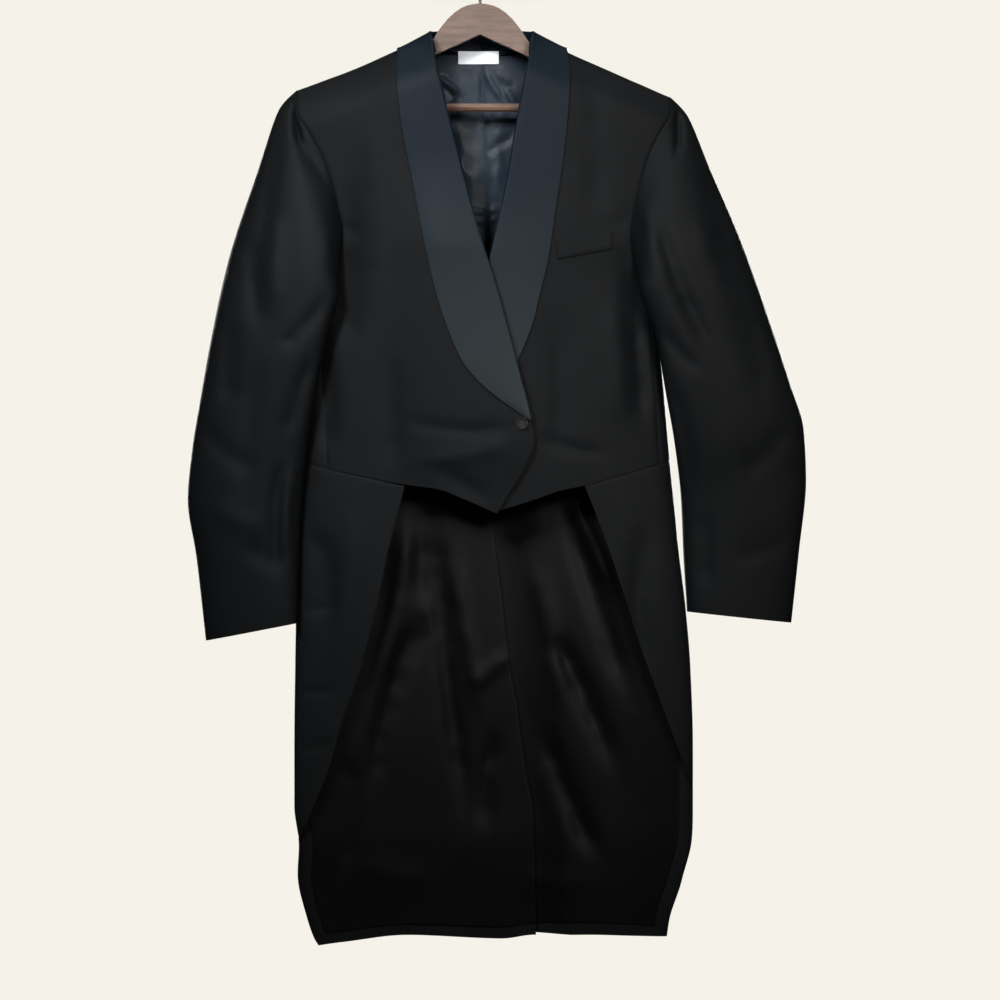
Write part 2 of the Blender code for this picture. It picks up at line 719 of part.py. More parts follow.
# ---------------------------------------------------------------- linings, label, pocket and button
def back_lining(side, parts):
    def inner(v):
        z = mix(BACK_LINING_FOOT, BACK_NECK - 4.5, v)
        return middle(z) + side * SEAM / 2, z

    def outer(v):
        z = mix(BACK_LINING_FOOT, shoulder_height(side, BACK_LINING_HALF) - 15, v)
        return middle(z) + side * BACK_LINING_HALF, z

    def low(u):
        return mix(inner(0)[0], outer(0)[0], u), BACK_LINING_FOOT

    def high(u):
        across = u * BACK_LINING_HALF
        below = mix(4.5, 15, ease(0.2, 0.7, u))
        return middle(BACK_NECK) + side * across, back_neck_height(side, across) - below

    rows = [[Vector((x, inside_back_y(x, z, LINING_IN), z)) for x, z in row]
            for row in panel(low, high, inner, outer, 6, spaced(0, 1, 8))]
    return cloth(f"back_lining_{SIDE_NAME[side]}", rows, LINING, parts, "lining")


def tail_lining(side, parts):
    """Inside the tail from the vent to the seam, on the tail's own columns, and on to the side."""
    rows = []
    for level in tail_heights():
        share = (level - HEM_AT_SEAM) / (WAIST_BACK - HEM_AT_SEAM)
        start = vent_edge(side, level)
        seam = back_outer(side, level)
        side_edge = middle(level) + side * (read(BODY, "half", level) - 15)
        places = [start + side * 2] + [mix(start, seam, u) for u in spaced(0, 1, BACK_COLUMNS)[1:]]
        places += [mix(seam, side_edge, u) for u in (0.28, 0.54, 0.77, 1)]
        row = []
        for x in places:
            z = mix(read(HEM, "height", x) + TAIL_LINING_RISE, TAIL_LINING_TOP, share)
            row.append(Vector((x, inside_back_y(x, z, LINING_IN) + vent_lap(side, x, z), z)))
        rows.append(row)
    return cloth(f"tail_lining_{SIDE_NAME[side]}", rows, LINING, parts, "tail_lining")


def label(parts):
    left, right, low, high = LABEL_SPAN
    rows = [[Vector((x, inside_back_y(x, z, LABEL_IN), z)) for x in spaced(left, right, 5)]
            for z in spaced(low, high, 3)]
    return cloth("label", rows, LINING, parts, "label")


def breast_welt(parts):
    top_in, top_out, low_out, low_in = (Vector(corner) for corner in WELT_CORNERS)
    rows = []
    for v in spaced(0, 1, 3):
        row = []
        for u in spaced(0, 1, 5):
            x, z = low_in.lerp(low_out, u).lerp(top_in.lerp(top_out, u), v)
            row.append(Vector((x, forepart_y(LEFT, x, z) - 1.2 - 0.5 - WELT_THICK / 2, z)))
        rows.append(row)
    return cloth("breast_welt", rows, WELT_THICK, parts, "wool")


def button(parts):
    """A turned button: a raised rim round a shallow dish."""
    outline = ((0, 0.62), (0.55, 0.62), (0.74, 1), (0.92, 1), (1, 0.72), (0.97, 0.2), (0.8, 0), (0, 0))
    mesh = bpy.data.meshes.new("button")
    points = [(r * BUTTON_RADIUS * MM, 0, h * BUTTON_THICK * MM) for r, h in outline]
    mesh.from_pydata(points, [(i, i + 1) for i in range(len(points) - 1)], [])
    made = place("button", mesh, parts, "button")
    turned = made.modifiers.new("turned", "SCREW")
    turned.steps = 24
    turned.render_steps = 24
    turned.use_merge_vertices = True
    turned.merge_threshold = 0.00001
    turned.use_normal_calculate = True
    x, z = BUTTON_AT
    made.rotation_euler = (math.radians(90), 0, 0)
    made.location = Vector((x, forepart_y(RIGHT, x, z) - WOOL / 2 - 0.5, z)) * MM
    return made


# ---------------------------------------------------------------- hanger
def hanger_body(parts, cutters):
    """A flat wooden hanger: its outline extruded, its edges rounded and its middle bored for the hook."""
    across = (0, 8, 15, 22, 30, 38, 46, 55, 64, 78, 99, 120, 140, 158, 175, 188, 194)
    top = [(x, read(WOOD_TOP, "height", x)) for x in across]
    foot_at = (192, 175, 160, 153, 149, 140, 120, 99, 78, 55, 30, 12)
    foot = [(x, read(WOOD_FOOT, "height", x)) for x in foot_at]
    half = top + foot
    outline = half + [(0, WOOD_FOOT["height"][0])] + [(-x, z) for x, z in reversed(half[1:])]
    curve = bpy.data.curves.new("outline", "CURVE")
    curve.dimensions = "2D"
    curve.fill_mode = "BOTH"
    curve.extrude = WOOD_THICK / 2 * MM
    spline = curve.splines.new("POLY")
    spline.points.add(len(outline) - 1)
    for point, (x, z) in zip(spline.points, outline):
        point.co = (x * MM, z * MM, 0, 1)
    spline.use_cyclic_u = True
    draft = bpy.data.objects.new("draft", curve)
    draft.rotation_euler = (math.radians(90), 0, 0)
    parts.objects.link(draft)
    bpy.context.view_layer.update()
    mesh = bpy.data.meshes.new_from_object(draft.evaluated_get(bpy.context.evaluated_depsgraph_get()))
    work = bmesh.new()
    work.from_mesh(mesh)
    bmesh.ops.remove_doubles(work, verts=work.verts, dist=0.00001)
    bmesh.ops.recalc_face_normals(work, faces=work.faces)
    work.to_mesh(mesh)
    work.free()
    mesh.materials.clear()
    made = place("hanger_body", mesh, parts, "wood")
    made.matrix_world = draft.matrix_world
    bpy.data.objects.remove(draft)
    edges = made.modifiers.new("edges", "BEVEL")
    edges.width = WOOD_ROUND * MM
    edges.segments = 2
    edges.limit_method = "ANGLE"
    edges.angle_limit = math.radians(50)
    bore = bmesh.new()
    bmesh.ops.create_cone(bore, cap_ends=True, segments=16, radius1=(HOOK_WIRE + SEAM) * MM,
                          radius2=(HOOK_WIRE + SEAM) * MM, depth=HOOK_BORE * MM)
    bore_foot = WOOD_TOP["height"][0] - HOOK_DEPTH - SEAM
    bmesh.ops.translate(bore, verts=bore.verts, vec=(0, 0, (bore_foot + HOOK_BORE / 2) * MM))
    bore_mesh = bpy.data.meshes.new("hook_bore")
    bore.to_mesh(bore_mesh)
    bore.free()
    cutter = bpy.data.objects.new("hook_bore", bore_mesh)
    cutter.hide_render = True
    cutter.display_type = "WIRE"
    cutters.objects.link(cutter)
    cut = made.modifiers.new("bore", "BOOLEAN")
    cut.operation = "DIFFERENCE"
    cut.object = cutter
    return made


def rod(name, points, radius, sides, parts, finish):
    """A wire or bar: a curve through the points, with a round section and filled ends."""
    curve = bpy.data.curves.new(name, "CURVE")
    curve.dimensions = "3D"
    curve.bevel_depth = radius * MM
    curve.bevel_resolution = sides
    curve.use_fill_caps = True
    spline = curve.splines.new("POLY")
    spline.points.add(len(points) - 1)
    for point, place_at in zip(spline.points, points):
        point.co = (*(Vector(place_at) * MM), 1)
    return place(name, curve, parts, finish)


def hook_points():
    """Up the shank, aside through a short bend, and round over the top to the free end."""
    radius = HOOK_RADIUS + HOOK_WIRE
    shank = [(0, 0, WOOD_TOP["height"][0] - HOOK_DEPTH), (0, 0, -52), (0.6, 0, -45), (3.6, 0, -39)]
    turn = [math.radians(degrees) for degrees in spaced(-52, 205, 26)]
    return shank + [(radius * math.cos(a), 0, radius * math.sin(a) - HOOK_RADIUS) for a in turn]


def main():
    clear_scene()
    parts = collection("tailcoat_on_hanger")
    cutters = collection("cutters")
    for side in (RIGHT, LEFT):
        forepart(side, parts)
        sidebody(side, parts)
        back(side, parts)
        skirt(side, parts)
        sleeve(side, parts)
        collar(side, parts)
        back_lining(side, parts)
        tail_lining(side, parts)
    label(parts)
    breast_welt(parts)
    button(parts)
    hanger_body(parts, cutters)
    rod("hanger_bar", [(-BAR_HALF, 0, BAR_HEIGHT), (BAR_HALF, 0, BAR_HEIGHT)], BAR_RADIUS, 3, parts, "wood")
    rod("hanger_hook", hook_points(), HOOK_WIRE, 2, parts, "steel")


main()
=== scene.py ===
"""How the white tie tailcoat and its hanger look: cloth with its creases, satin, lining, stitches and wood.

The tables are in millimetres in the frame's axes: +Z up, the coat's front faces -Y, and left and right
are the wearer's, so right is at -X.
"""
import math
from bisect import bisect_right

import bmesh
import bpy
from bpy.props import FloatProperty, FloatVectorProperty, PointerProperty
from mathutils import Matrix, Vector, noise


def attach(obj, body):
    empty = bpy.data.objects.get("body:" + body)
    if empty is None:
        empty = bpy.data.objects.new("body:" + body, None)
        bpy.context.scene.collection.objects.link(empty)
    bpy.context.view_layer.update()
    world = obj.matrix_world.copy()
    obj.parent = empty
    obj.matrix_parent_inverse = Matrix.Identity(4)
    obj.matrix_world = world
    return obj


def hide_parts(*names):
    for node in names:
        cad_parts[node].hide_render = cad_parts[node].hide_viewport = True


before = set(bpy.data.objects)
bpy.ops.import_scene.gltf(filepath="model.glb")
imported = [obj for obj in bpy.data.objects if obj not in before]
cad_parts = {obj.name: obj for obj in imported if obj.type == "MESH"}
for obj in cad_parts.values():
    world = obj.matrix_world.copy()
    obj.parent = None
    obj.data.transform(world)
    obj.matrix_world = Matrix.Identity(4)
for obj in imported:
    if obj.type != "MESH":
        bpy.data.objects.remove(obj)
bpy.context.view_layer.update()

bl_info = {
    "name": "White tie tailcoat",
    "version": (1, 0, 0),
    "blender": (4, 5, 0),
    "location": "View3D > Sidebar > Tailcoat",
    "description": "Builds the cloth, trimmings and finishes of a white tie tailcoat on its hanger",
    "category": "Object",
}

MM = 0.001
RIGHT = -1
LEFT = 1
SIDE_NAME = {RIGHT: "right", LEFT: "left"}

# Cloth
WOOL = 2.4             # fused wool, lining not counted
SATIN = 1.6            # collar facing
LINING = 1.0
SEAM = -0.15           # two pieces sewn edge to edge pass each other by twice this
RIDGE_ROOM = 0.8       # how far front and back stand off the line of the shoulders
ARMHOLE_LAP = 2.6      # how far the body goes on inside the sleeve
CORNER = 2.6           # how square the flattened body is, seen from above
SHOULDER_DROP = 55.0   # height over which the cloth rounds over the shoulders


def table(names, *rows):
    """Rows of numbers under named columns; the first column is the one that is read by."""
    return {name: [row[i] for row in rows] for i, name in enumerate(names.split())}


# The hanging body, by height: its middle, half its width, and how far front and back stand off
BODY = table(
    "height middle half front back",
    (-1165, 14, 204, 9, 11),
    (-1155, 12, 208, 9, 11),
    (-1130, 10, 214, 10, 12),
    (-1088, 12, 225, 11, 13),
    (-1040, 18, 230, 12, 14),
    (-1000, 16, 233, 14, 16),
    (-930, 16, 233, 17, 18),
    (-837, 15, 231, 21, 21),
    (-774, 13, 228, 25, 23),
    (-669, 8, 221, 31, 27),
    (-598, 8, 214, 36, 30),
    (-540, 7, 210, 40, 32),
    (-480, 8, 204, 43, 34),
    (-420, 8, 198, 45, 35),
    (-380, 8, 197, 46, 36),
    (-340, 8, 216, 47, 37),
    (-300, 8, 236, 47, 37),
    (-200, 5, 250, 45, 36),
    (-90, 2, 255, 41, 34),
)
# The top of the shoulders, by distance from the middle
SHOULDER = table(
    "across right left",
    (0, -45, -45),
    (40, -78, -78),
    (57, -99, -100),
    (103, -118, -121),
    (147, -136, -139),
    (193, -152, -158),
    (205, -156, -163),
    (220, -161, -169),
)
# The armhole's front and back, by height, as distances from the middle
ARMHOLE = table(
    "height front back",
    (-380, 197, 197),
    (-370, 187, 190),
    (-357, 174, 182),
    (-345, 168, 178),
    (-328, 167, 175),
    (-305, 171, 175),
    (-275, 178, 183),
    (-241, 189, 193),
    (-212, 204, 203),
    (-186, 218, 213),
    (-166, 217, 217),
)
UNDERARM = -380
# How far down the armhole the sleeve's ring is, by degrees from its top through the front
RING = table(
    "degrees down",
    (0, 0), (20, 0.03), (40, 0.11), (60, 0.235), (80, 0.37), (100, 0.505), (120, 0.64), (140, 0.765),
    (160, 0.845), (180, 0.90), (200, 0.955), (220, 1), (240, 0.965), (260, 0.865), (280, 0.72),
    (300, 0.55), (320, 0.34), (340, 0.13), (360, 0),
)
RING_UNDERARM = 220
SIDE_SEAM_RING = 200
BACK_SEAM_RING = 280
# Seam between forepart and sidebody, as distances from the middle
SIDE_SEAM = table(
    "height right left",
    (-604, 186, 202),
    (-535, 188, 199),
    (-497, 193, 195),
    (-420, 190, 190),
    (-370, 187, 187),
)
# Seam between back and sidebody, then between back tail and skirt
BACK_SEAM = table(
    "height across",
    (-1165, 96),
    (-900, 86),
    (-700, 73),
    (-598, 64),
    (-500, 80),
    (-420, 116),
    (-360, 150),
    (-318, 175),
)
# The foreparts' lower edge: the waist seam out to the side, and free between the skirts
WAIST = {
    RIGHT: table("across height", (-208, -598), (-180, -604), (-128, -615), (-87, -623),
                 (-50, -628), (-21, -639), (20, -657)),
    LEFT: table("across height", (18, -655), (65, -640), (94, -630), (122, -624),
                (170, -610), (224, -595)),
}
WAIST_BACK = -592      # the waist seam's height where it meets the back seam
# The foreparts' front edge: cut away below the button, then the roll of the lapel
FRONT_EDGE = {
    RIGHT: table("height across", (-657, 20), (-567, 63), (-549, 60), (-482, 43), (-392, 19),
                 (-329, -1), (-266, -18), (-208, -33), (-154, -46), (-120, -55), (-98, -60)),
    LEFT: table("height across", (-655, 18), (-567, -24), (-549, -27), (-482, -18), (-392, 4),
                (-335, 17), (-266, 32), (-206, 42), (-143, 54), (-120, 58), (-98, 63)),
}
FRONT_CORNER = -567    # where the front edge turns, just below the button
# The shawl collar's outer edge
COLLAR_EDGE = {
    RIGHT: table("height across", (-549, 58), (-536, 41), (-522, 21), (-502, -2), (-480, -20),
                 (-436, -39), (-405, -49), (-334, -66), (-271, -78), (-198, -92), (-160, -96),
                 (-120, -99)),
    LEFT: table("height across", (-549, -23), (-536, -7), (-522, 13), (-502, 31), (-480, 43),
                (-433, 62), (-400, 70), (-358, 80), (-310, 87), (-227, 99), (-153, 105),
                (-122, 106)),
}
# The collar round the neck: its fold, its outer edge and its foot, from beside the neck to the back
NECK = table(
    "step fold_x fold_y fold_z edge_x edge_y edge_z foot_x foot_y foot_z",
    (0, 57, -39, -119, 98.5, -23, -117, 54, -35.5, -120.5),
    (1, 58.5, -29, -101.5, 100, -8, -111.5, 56, -26, -107),
    (2, 60, -12, -92.5, 101, 5, -112, 60, -10, -97.5),
    (3, 60, 3, -90, 99, 18, -118.5, 60, 3, -96.5),
    (4, 57, 18, -89, 92, 27.5, -125, 55, 17, -101),
    (5, 43, 29, -87, 72, 37, -131, 40, 26.5, -110),
    (6, 22, 33.5, -86, 38, 40.5, -136, 21, 29.5, -115.5),
    (7, 0, 34.5, -85, 0, 41, -138, 0, 30.6, -117),
)
NECK_STEPS = (0, 0.7, 1.4, 2.1, 3, 3.7, 4.4, 5.2, 6, 7)
LAPEL_HEIGHTS = (-547, -538, -520, -500, -480, -455, -425, -390, -350, -305, -255, -205, -170, -150,
                 -136)
# The skirts' front edge, from the waist seam to where it reaches the side
SKIRT_EDGE = {
    RIGHT: table("height across", (-1040, -213), (-998, -194), (-950, -175), (-905, -163),
                 (-841, -141), (-770, -122), (-695, -106), (-623, -87)),
    LEFT: table("height across", (-976, 249), (-924, 229), (-864, 207), (-804, 185),
                (-744, 166), (-669, 140), (-624, 122)),
}
HEM = table("across height", (-200, -1165), (-160, -1160), (-85, -1152), (25, -1155), (65, -1150),
            (125, -1150), (177, -1152), (222, -1154))
# The inner tail's free edge in the back vent
VENT = table("height across", (-1160, 66), (-1017, 63), (-969, 55), (-893, 45), (-815, 33),
             (-725, 23), (-661, 15), (-592, 8))
VENT_CORNER = -606     # just below the waist, where the outer tail has its full lap
VENT_LAP = 46          # how far the outer tail goes on behind the inner one
VENT_STEP = 6.4        # the outer tail's distance behind the inner one

NECK_HALF = 59
BACK_NECK = -114
BACK_LINING_HALF = 104
BACK_LINING_FOOT = -420
TAIL_LINING_TOP = -606
TAIL_LINING_RISE = 12     # above the hem
HEM_AT_SEAM = -1153
WAIST_ROOM = -0.15
# Rows of a panel's grid near the shoulder seam, as shares of its height
SHOULDER_ROWS = [0.91, 0.94, 0.965, 0.985, 0.9965, 0.9996, 1]
BACK_SHOULDER_ROWS = [0.957, 0.972, 0.984, 0.9935, 0.9985, 0.9998, 1]

# Sleeves, by station from the armhole to the cuff: inner and outer edge, and depths off that line
SLEEVE = {
    RIGHT: table(
        "step in_x in_z in_y out_x out_z out_y front back",
        (1, -163, -362, -44, -233, -180, -3, 24, 52),
        (2, -163, -382, -48, -261, -259, -3, 33, 44),
        (3, -165, -402, -50, -295, -362, -2, 36, 31),
        (4, -180, -458, -47, -314, -450, -6, 34, 27),
        (5, -194, -524, -38, -327, -523, -6, 31, 25),
        (6, -203, -582, -27, -337, -584, -4, 30, 24),
        (7, -209, -642, -21, -342, -641, -3, 28, 23),
        (8, -212.5, -704, -19, -332, -708, -1, 26, 22),
        (9, -214.5, -785, -18, -321, -806, 2, 23, 21),
    ),
    LEFT: table(
        "step in_x in_z in_y out_x out_z out_y front back",
        (1, 181, -360, -44, 241, -188, -3, 24, 52),
        (2, 184, -378, -48, 271, -258, -3, 33, 44),
        (3, 187, -398, -50, 307, -342, -2, 36, 31),
        (4, 205, -446, -45, 334, -418, -6, 34, 27),
        (5, 218, -516, -37, 362, -503, -6, 31, 25),
        (6, 229, -576, -24, 379, -560, -4, 30, 24),
        (7, 237, -640, -6, 382, -620, 0, 28, 23),
        (8, 240, -704, 0, 374, -700, 3, 26, 22),
        (9, 244.5, -772, 3, 365, -785, 6, 24, 22),
    ),
}
SLEEVE_SEAM_INNER = 220   # degrees round the sleeve from its outer edge, through its front
SLEEVE_SEAM_OUTER = 320
SLEEVE_ROUND = {"front": 2.2, "back_inner": 1.5, "back_outer": 2.0}
UNDERARM_STATIONS = 3     # under the arm the cloth goes straight from the armhole to this station
ARMHOLE_ROOM = 1.0        # the sleeve starts this far out from the body's armhole edge
UNDERARM_ROOM = 2.5       # and this far under the arm, where it passes outside the body

# Things that lie on a panel: distances from the panel's middle surface
LAPEL_EDGE_LIFT = 3.6
LAPEL_FOLD_LIFT = 7.3
LAPEL_RETURN_LIFT = 3.5
LAPEL_RETURN = 9          # width of the cloth turned back under the fold
FRONT_LAP = 10.5          # the right forepart's distance in front of the left one
LINING_IN = 3.0
LABEL_IN = 6.4

WELT_CORNERS = ((88, -341), (155, -328), (155, -349), (91, -361))
WELT_THICK = 1.8
LABEL_SPAN = (-26, 22, -126, -111)
LABEL_RIPPLE = 0.3
LABEL_RIPPLE_RUN = 5      # across the label, for one radian of its ripple

BUTTON_AT = (49, -552)

WELT_OUT = 1.2 + 0.5 + WELT_THICK / 2   # from the forepart's middle surface to the welt's
COLLAR_FALL = (0, 0.02, 0.06, 0.14, 0.24, 0.36, 0.48, 0.60, 0.72, 0.82, 0.90, 0.96, 1)
FOLD_TURN = (60, 30, 0, -30, -60)        # degrees round the collar's fold, from its face to its back
LAPEL_SWELL = 0.7                        # how far the lapel's middle stands proud
COLLAR_BLENDS = 3                        # rounds of smoothing where the lapel becomes the collar
BUTTONHOLE_LENGTH = 16
VENT_TACKS = ((34, -814.7), (12, -612))

# Stage, in metres
FLOOR_HALF = 4.0
FLOOR_HEIGHT = -1.9
FLOOR_GLOW = 0.8           # how pale the floor looks where the lamps miss it
CAMERA_AWAY = 5.0
SEEN_WIDTH = 1.175        # what the camera sees at the coat, from side to side
SEEN_MIDDLE = (0.0235, -0.641)
AMBIENT = 0.006
KEY_PLACE, KEY_AIM, KEY_POWER, KEY_SPREAD = (-0.8, -1.9, 0.65), (-0.14, 0.0, -0.37), 4.1, 38
FILL_PLACE, FILL_AIM, FILL_POWER, FILL_SPREAD = (0.9, -2.4, 0.35), (0.24, 0.0, -0.37), 3.4, 32
BEHIND_PLACE, BEHIND_AIM, BEHIND_POWER, BEHIND_SPREAD = (0.9, 2.3, -0.25), (0.0, 0.0, -0.6), 9, 60
BEHIND_FILL_PLACE, BEHIND_FILL_POWER = (-1.1, 2.4, -0.3), 6
COOL_LIGHT = (0.92, 0.96, 1.0)
WARM_LIGHT = (1.0, 0.97, 0.94)
WHITE_LIGHT = (1.0, 1.0, 1.0)
KEY_WIDTH, FILL_WIDTH, BEHIND_WIDTH, TOP_WIDTH = 0.5, 0.9, 0.6, 3.0
TOP_PLACE, TOP_AIM, TOP_POWER, TOP_SPREAD = (0.0, 0.0, 2.2), (0.0, 0.0, 0.0), 14, 70

# Creases by the layer they are pressed into: start, middle and end, as x and z.  A positive depth is a
# trough and a negative one a ridge, as seen from the front; the width is to either side of the line.
CREASES = {
    "front": (
        (172, -360, 184, -460, 190, -560, 8.1, 13),
        (150, -400, 160, -480, 158, -560, -4.1, 16),
        (-150, -250, -158, -370, -150, -480, 4.7, 16),
        (-128, -160, -118, -300, -124, -450, -3.0, 18),
        (128, -130, 136, -230, 134, -330, 3.0, 15),
        (40, -556, -20, -560, -92, -548, 2.2, 8),
        (38, -572, -18, -590, -84, -594, -2.0, 9),
        (66, -566, 104, -580, 150, -588, 2.8, 8),
        (-196, -440, -178, -520, -182, -590, 5.6, 12),
        (-60, -600, -20, -622, 16, -640, 2.5, 10),
        (-190, -300, -160, -322, -128, -330, 1.2, 10),
        (186, -300, 160, -318, 132, -322, 1.1, 10),
        (-100, -470, -104, -540, -98, -606, 3.0, 14),
        (88, -420, 96, -500, 90, -600, 3.3, 15),
        (-206, -680, -180, -720, -186, -800, 3.6, 14),
        (196, -660, 186, -760, 200, -850, 4.7, 13),
        (-214, -770, -184, -768, -158, -764, 1.5, 6),
        (-216, -867, -190, -866, -166, -860, 1.6, 6),
        (-216, -936, -194, -930, -172, -926, 1.5, 6),
        (180, -900, 206, -960, 222, -1040, 3.8, 14),
        (-150, -640, -156, -760, -176, -860, -3.6, 15),
    ),
    "back": (
        (-66, -631, -68, -700, -64, -775, 3.5, 12),
        (-56, -780, -100, -860, -134, -1030, 4.8, 15),
        (-92, -660, -96, -760, -128, -880, -3.0, 13),
        (-52, -650, -40, -830, -12, -1030, 4.2, 11),
        (-30, -700, -16, -800, 4, -900, -2.7, 10),
        (24, -905, 8, -970, 7, -1040, 3.5, 10),
        (72, -900, 104, -990, 142, -1070, 4.8, 13),
        (80, -795, 122, -868, 164, -975, 4.6, 13),
        (102, -650, 140, -770, 180, -880, 4.2, 12),
        (100, -628, 132, -690, 164, -765, -3.5, 9),
        (60, -700, 82, -800, 98, -900, -2.7, 12),
        (-11, -863, 12, -842, 35, -818, -2.3, 9),
        (-150, -1066, -100, -1084, -52, -1080, -1.2, 16),
        (-160, -930, -150, -1010, -160, -1090, 2.5, 14),
        (44, -1072, 84, -1094, 130, -1080, -1.0, 15),
        (-100, -230, -60, -262, -20, -270, 1.4, 12),
        (100, -220, 64, -250, 30, -262, 1.3, 12),
        (-120, -440, -100, -520, -60, -580, 1.9, 14),
        (122, -430, 100, -510, 62, -575, 1.6, 14),
    ),
    "lining": (
        (-50, -137, -36, -152, -24, -158, -4.6, 4),
        (-44, -146, -36, -162, -30, -172, 3.4, 6),
        (-47, -152, -34, -166, -20, -190, -3.0, 5),
        (4, -132, 14, -150, 28, -172, -3.2, 3),
        (20, -134, 27, -142, 37, -146, -1.8, 3.5),
        (30, -156, 37, -166, 44, -184, -2.2, 4),
        (-2, -132, -3, -160, -4, -186, -1.6, 3),
        (-30, -196, -20, -230, -24, -270, -3.2, 6),
        (-20, -212, -8, -250, -14, -290, -2.0, 7),
        (-34, -236, -22, -246, -10, -266, -2.4, 4),
        (26, -196, 20, -250, 24, -290, -1.6, 9),
        (-30, -292, -4, -300, 26, -296, -3.2, 4),
        (-20, -306, 4, -312, 24, -304, -2.5, 4),
        (38, -206, 22, -222, 4, -230, 1.6, 5),
        (-24, -330, -6, -350, 10, -380, -2.5, 6),
        (-56, -210, -50, -240, -54, -280, -3.0, 6),
        (54, -200, 50, -240, 56, -290, -2.8, 6),
    ),
    "sleeve_right": (
        (-234, -178, -246, -280, -250, -380, 3.4, 12),
        (-286, -300, -300, -400, -306, -500, -2.6, 14),
        (-256, -470, -268, -560, -270, -660, 2.6, 13),
        (-212, -170, -214, -200, -208, -232, 9.8, 5),
        (-208, -222, -192, -250, -168, -273, 3.6, 9),
        (-262, -330, -262, -390, -254, -445, 4.3, 11),
        (-236, -300, -240, -360, -232, -430, -3.3, 12),
        (-300, -420, -292, -480, -296, -540, 3.9, 13),
        (-276, -696, -250, -708, -226, -726, 3.0, 13),
        (-314, -646, -284, -664, -250, -674, -2.0, 12),
        (-218, -600, -226, -650, -226, -715, -3.6, 9),
        (-228, -590, -238, -660, -236, -730, 5.2, 9),
        (-190, -470, -212, -520, -226, -580, 4.6, 10),
        (-322, -548, -300, -582, -262, -604, 2.4, 12),
        (-176, -400, -204, -440, -236, -466, 3.9, 9),
    ),
    "sleeve_left": (
        (256, -196, 274, -290, 296, -380, 3.0, 13),
        (286, -520, 300, -600, 316, -720, -2.4, 14),
        (206, -318, 228, -385, 282, -490, 8.4, 11),
        (230, -184, 232, -210, 229, -244, 7.7, 5),
        (190, -290, 204, -340, 226, -400, -4.2, 10),
        (250, -300, 270, -370, 300, -440, -3.4, 14),
        (216, -500, 236, -560, 246, -640, 5.0, 10),
        (360, -546, 334, -588, 296, -612, 2.4, 13),
        (366, -676, 332, -700, 290, -706, 1.8, 12),
        (262, -650, 266, -700, 262, -752, 3.8, 10),
        (300, -420, 322, -470, 330, -530, 3.4, 14),
        (212, -440, 232, -470, 262, -492, 3.8, 9),
    ),
}
# Slow swells of the cloth between its creases: size, and height either way
SWELL_SIZE = 95
SWELL = {"front": 2.2, "back": 2.4, "lining": 0.0, "sleeve_right": 3.2, "sleeve_left": 3.2}
RUMPLE_SIZE = 17          # the thin lining's own small crumples
RUMPLE = 0.9

# Grid of the cloth's points, and the groove along a sewn edge
GRID = 4.2
SLEEVE_GRID_DEGREES = 4
GROOVE = 0.8
GROOVE_WIDTH = 2.2
ARMHOLE_SINK = 2.8        # how far the body goes down where it passes inside the sleeve
SLEEVE_EDGE = 0.3
RIM = 0.5                 # rounding of a cut edge

# How far the satin is painted with a lighter sheen at a height in metres, more lower down: the height times
# the first value, plus the second
SATIN_PAINTED_SHEEN_BY_HEIGHT = (-3.4, -0.92)

# ---------------------------------------------------------------- reading tables and placing points
def slope(xs, ys, i):
    """The curve's slope at a row: none at a turn, so that it never overshoots a row."""
    before = (ys[i] - ys[i - 1]) / (xs[i] - xs[i - 1]) if i > 0 else None
    after = (ys[i + 1] - ys[i]) / (xs[i + 1] - xs[i]) if i + 1 < len(xs) else None
    if before is None or after is None:
        return before if after is None else after
    return 2 * before * after / (before + after) if before * after > 0 else 0.0


def read(rows, column, at):
    """A column's value at a place in the first column, smooth between rows and flat beyond them."""
    xs = next(iter(rows.values()))
    ys = rows[column]
    if at <= xs[0]:
        return ys[0]
    if at >= xs[-1]:
        return ys[-1]
    i = bisect_right(xs, at) - 1
    width = xs[i + 1] - xs[i]
    t = (at - xs[i]) / width
    a = slope(xs, ys, i) * width
    b = slope(xs, ys, i + 1) * width
    return (ys[i] * (2 * t**3 - 3 * t**2 + 1) + a * (t**3 - 2 * t**2 + t)
            + ys[i + 1] * (3 * t**2 - 2 * t**3) + b * (t**3 - t**2))


def mix(a, b, t):
    return a + (b - a) * t


def ease(low, high, at):
    """0 below low and 1 above high, with a smooth rise between."""
    t = min(1.0, max(0.0, (at - low) / (high - low)))
    return t * t * (3 - 2 * t)


def spaced(start, end, count):
    return [mix(start, end, i / (count - 1)) for i in range(count)]


def crease_line(row):
    """A crease's line as short stretches of the curve through its start, middle and end."""
    x0, z0, x1, z1, x2, z2 = row[:6]
    line = []
    for t in spaced(0, 1, 9):
        start, half, end = (1 - t) * (1 - 2 * t), 4 * t * (1 - t), t * (2 * t - 1)
        line.append((start * x0 + half * x1 + end * x2, start * z0 + half * z1 + end * z2, t))
    return line


def nearest(line, x, z):
    """How far a place is from a line, and how far along the line the nearest point is, from 0 to 1."""
    best = None
    for (ax, az, at), (bx, bz, bt) in zip(line, line[1:]):
        dx, dz = bx - ax, bz - az
        t = min(1.0, max(0.0, ((x - ax) * dx + (z - az) * dz) / (dx * dx + dz * dz)))
        away = (x - ax - t * dx) ** 2 + (z - az - t * dz) ** 2
        if best is None or away < best[0]:
            best = (away, mix(at, bt, t))
    return math.sqrt(best[0]), best[1]


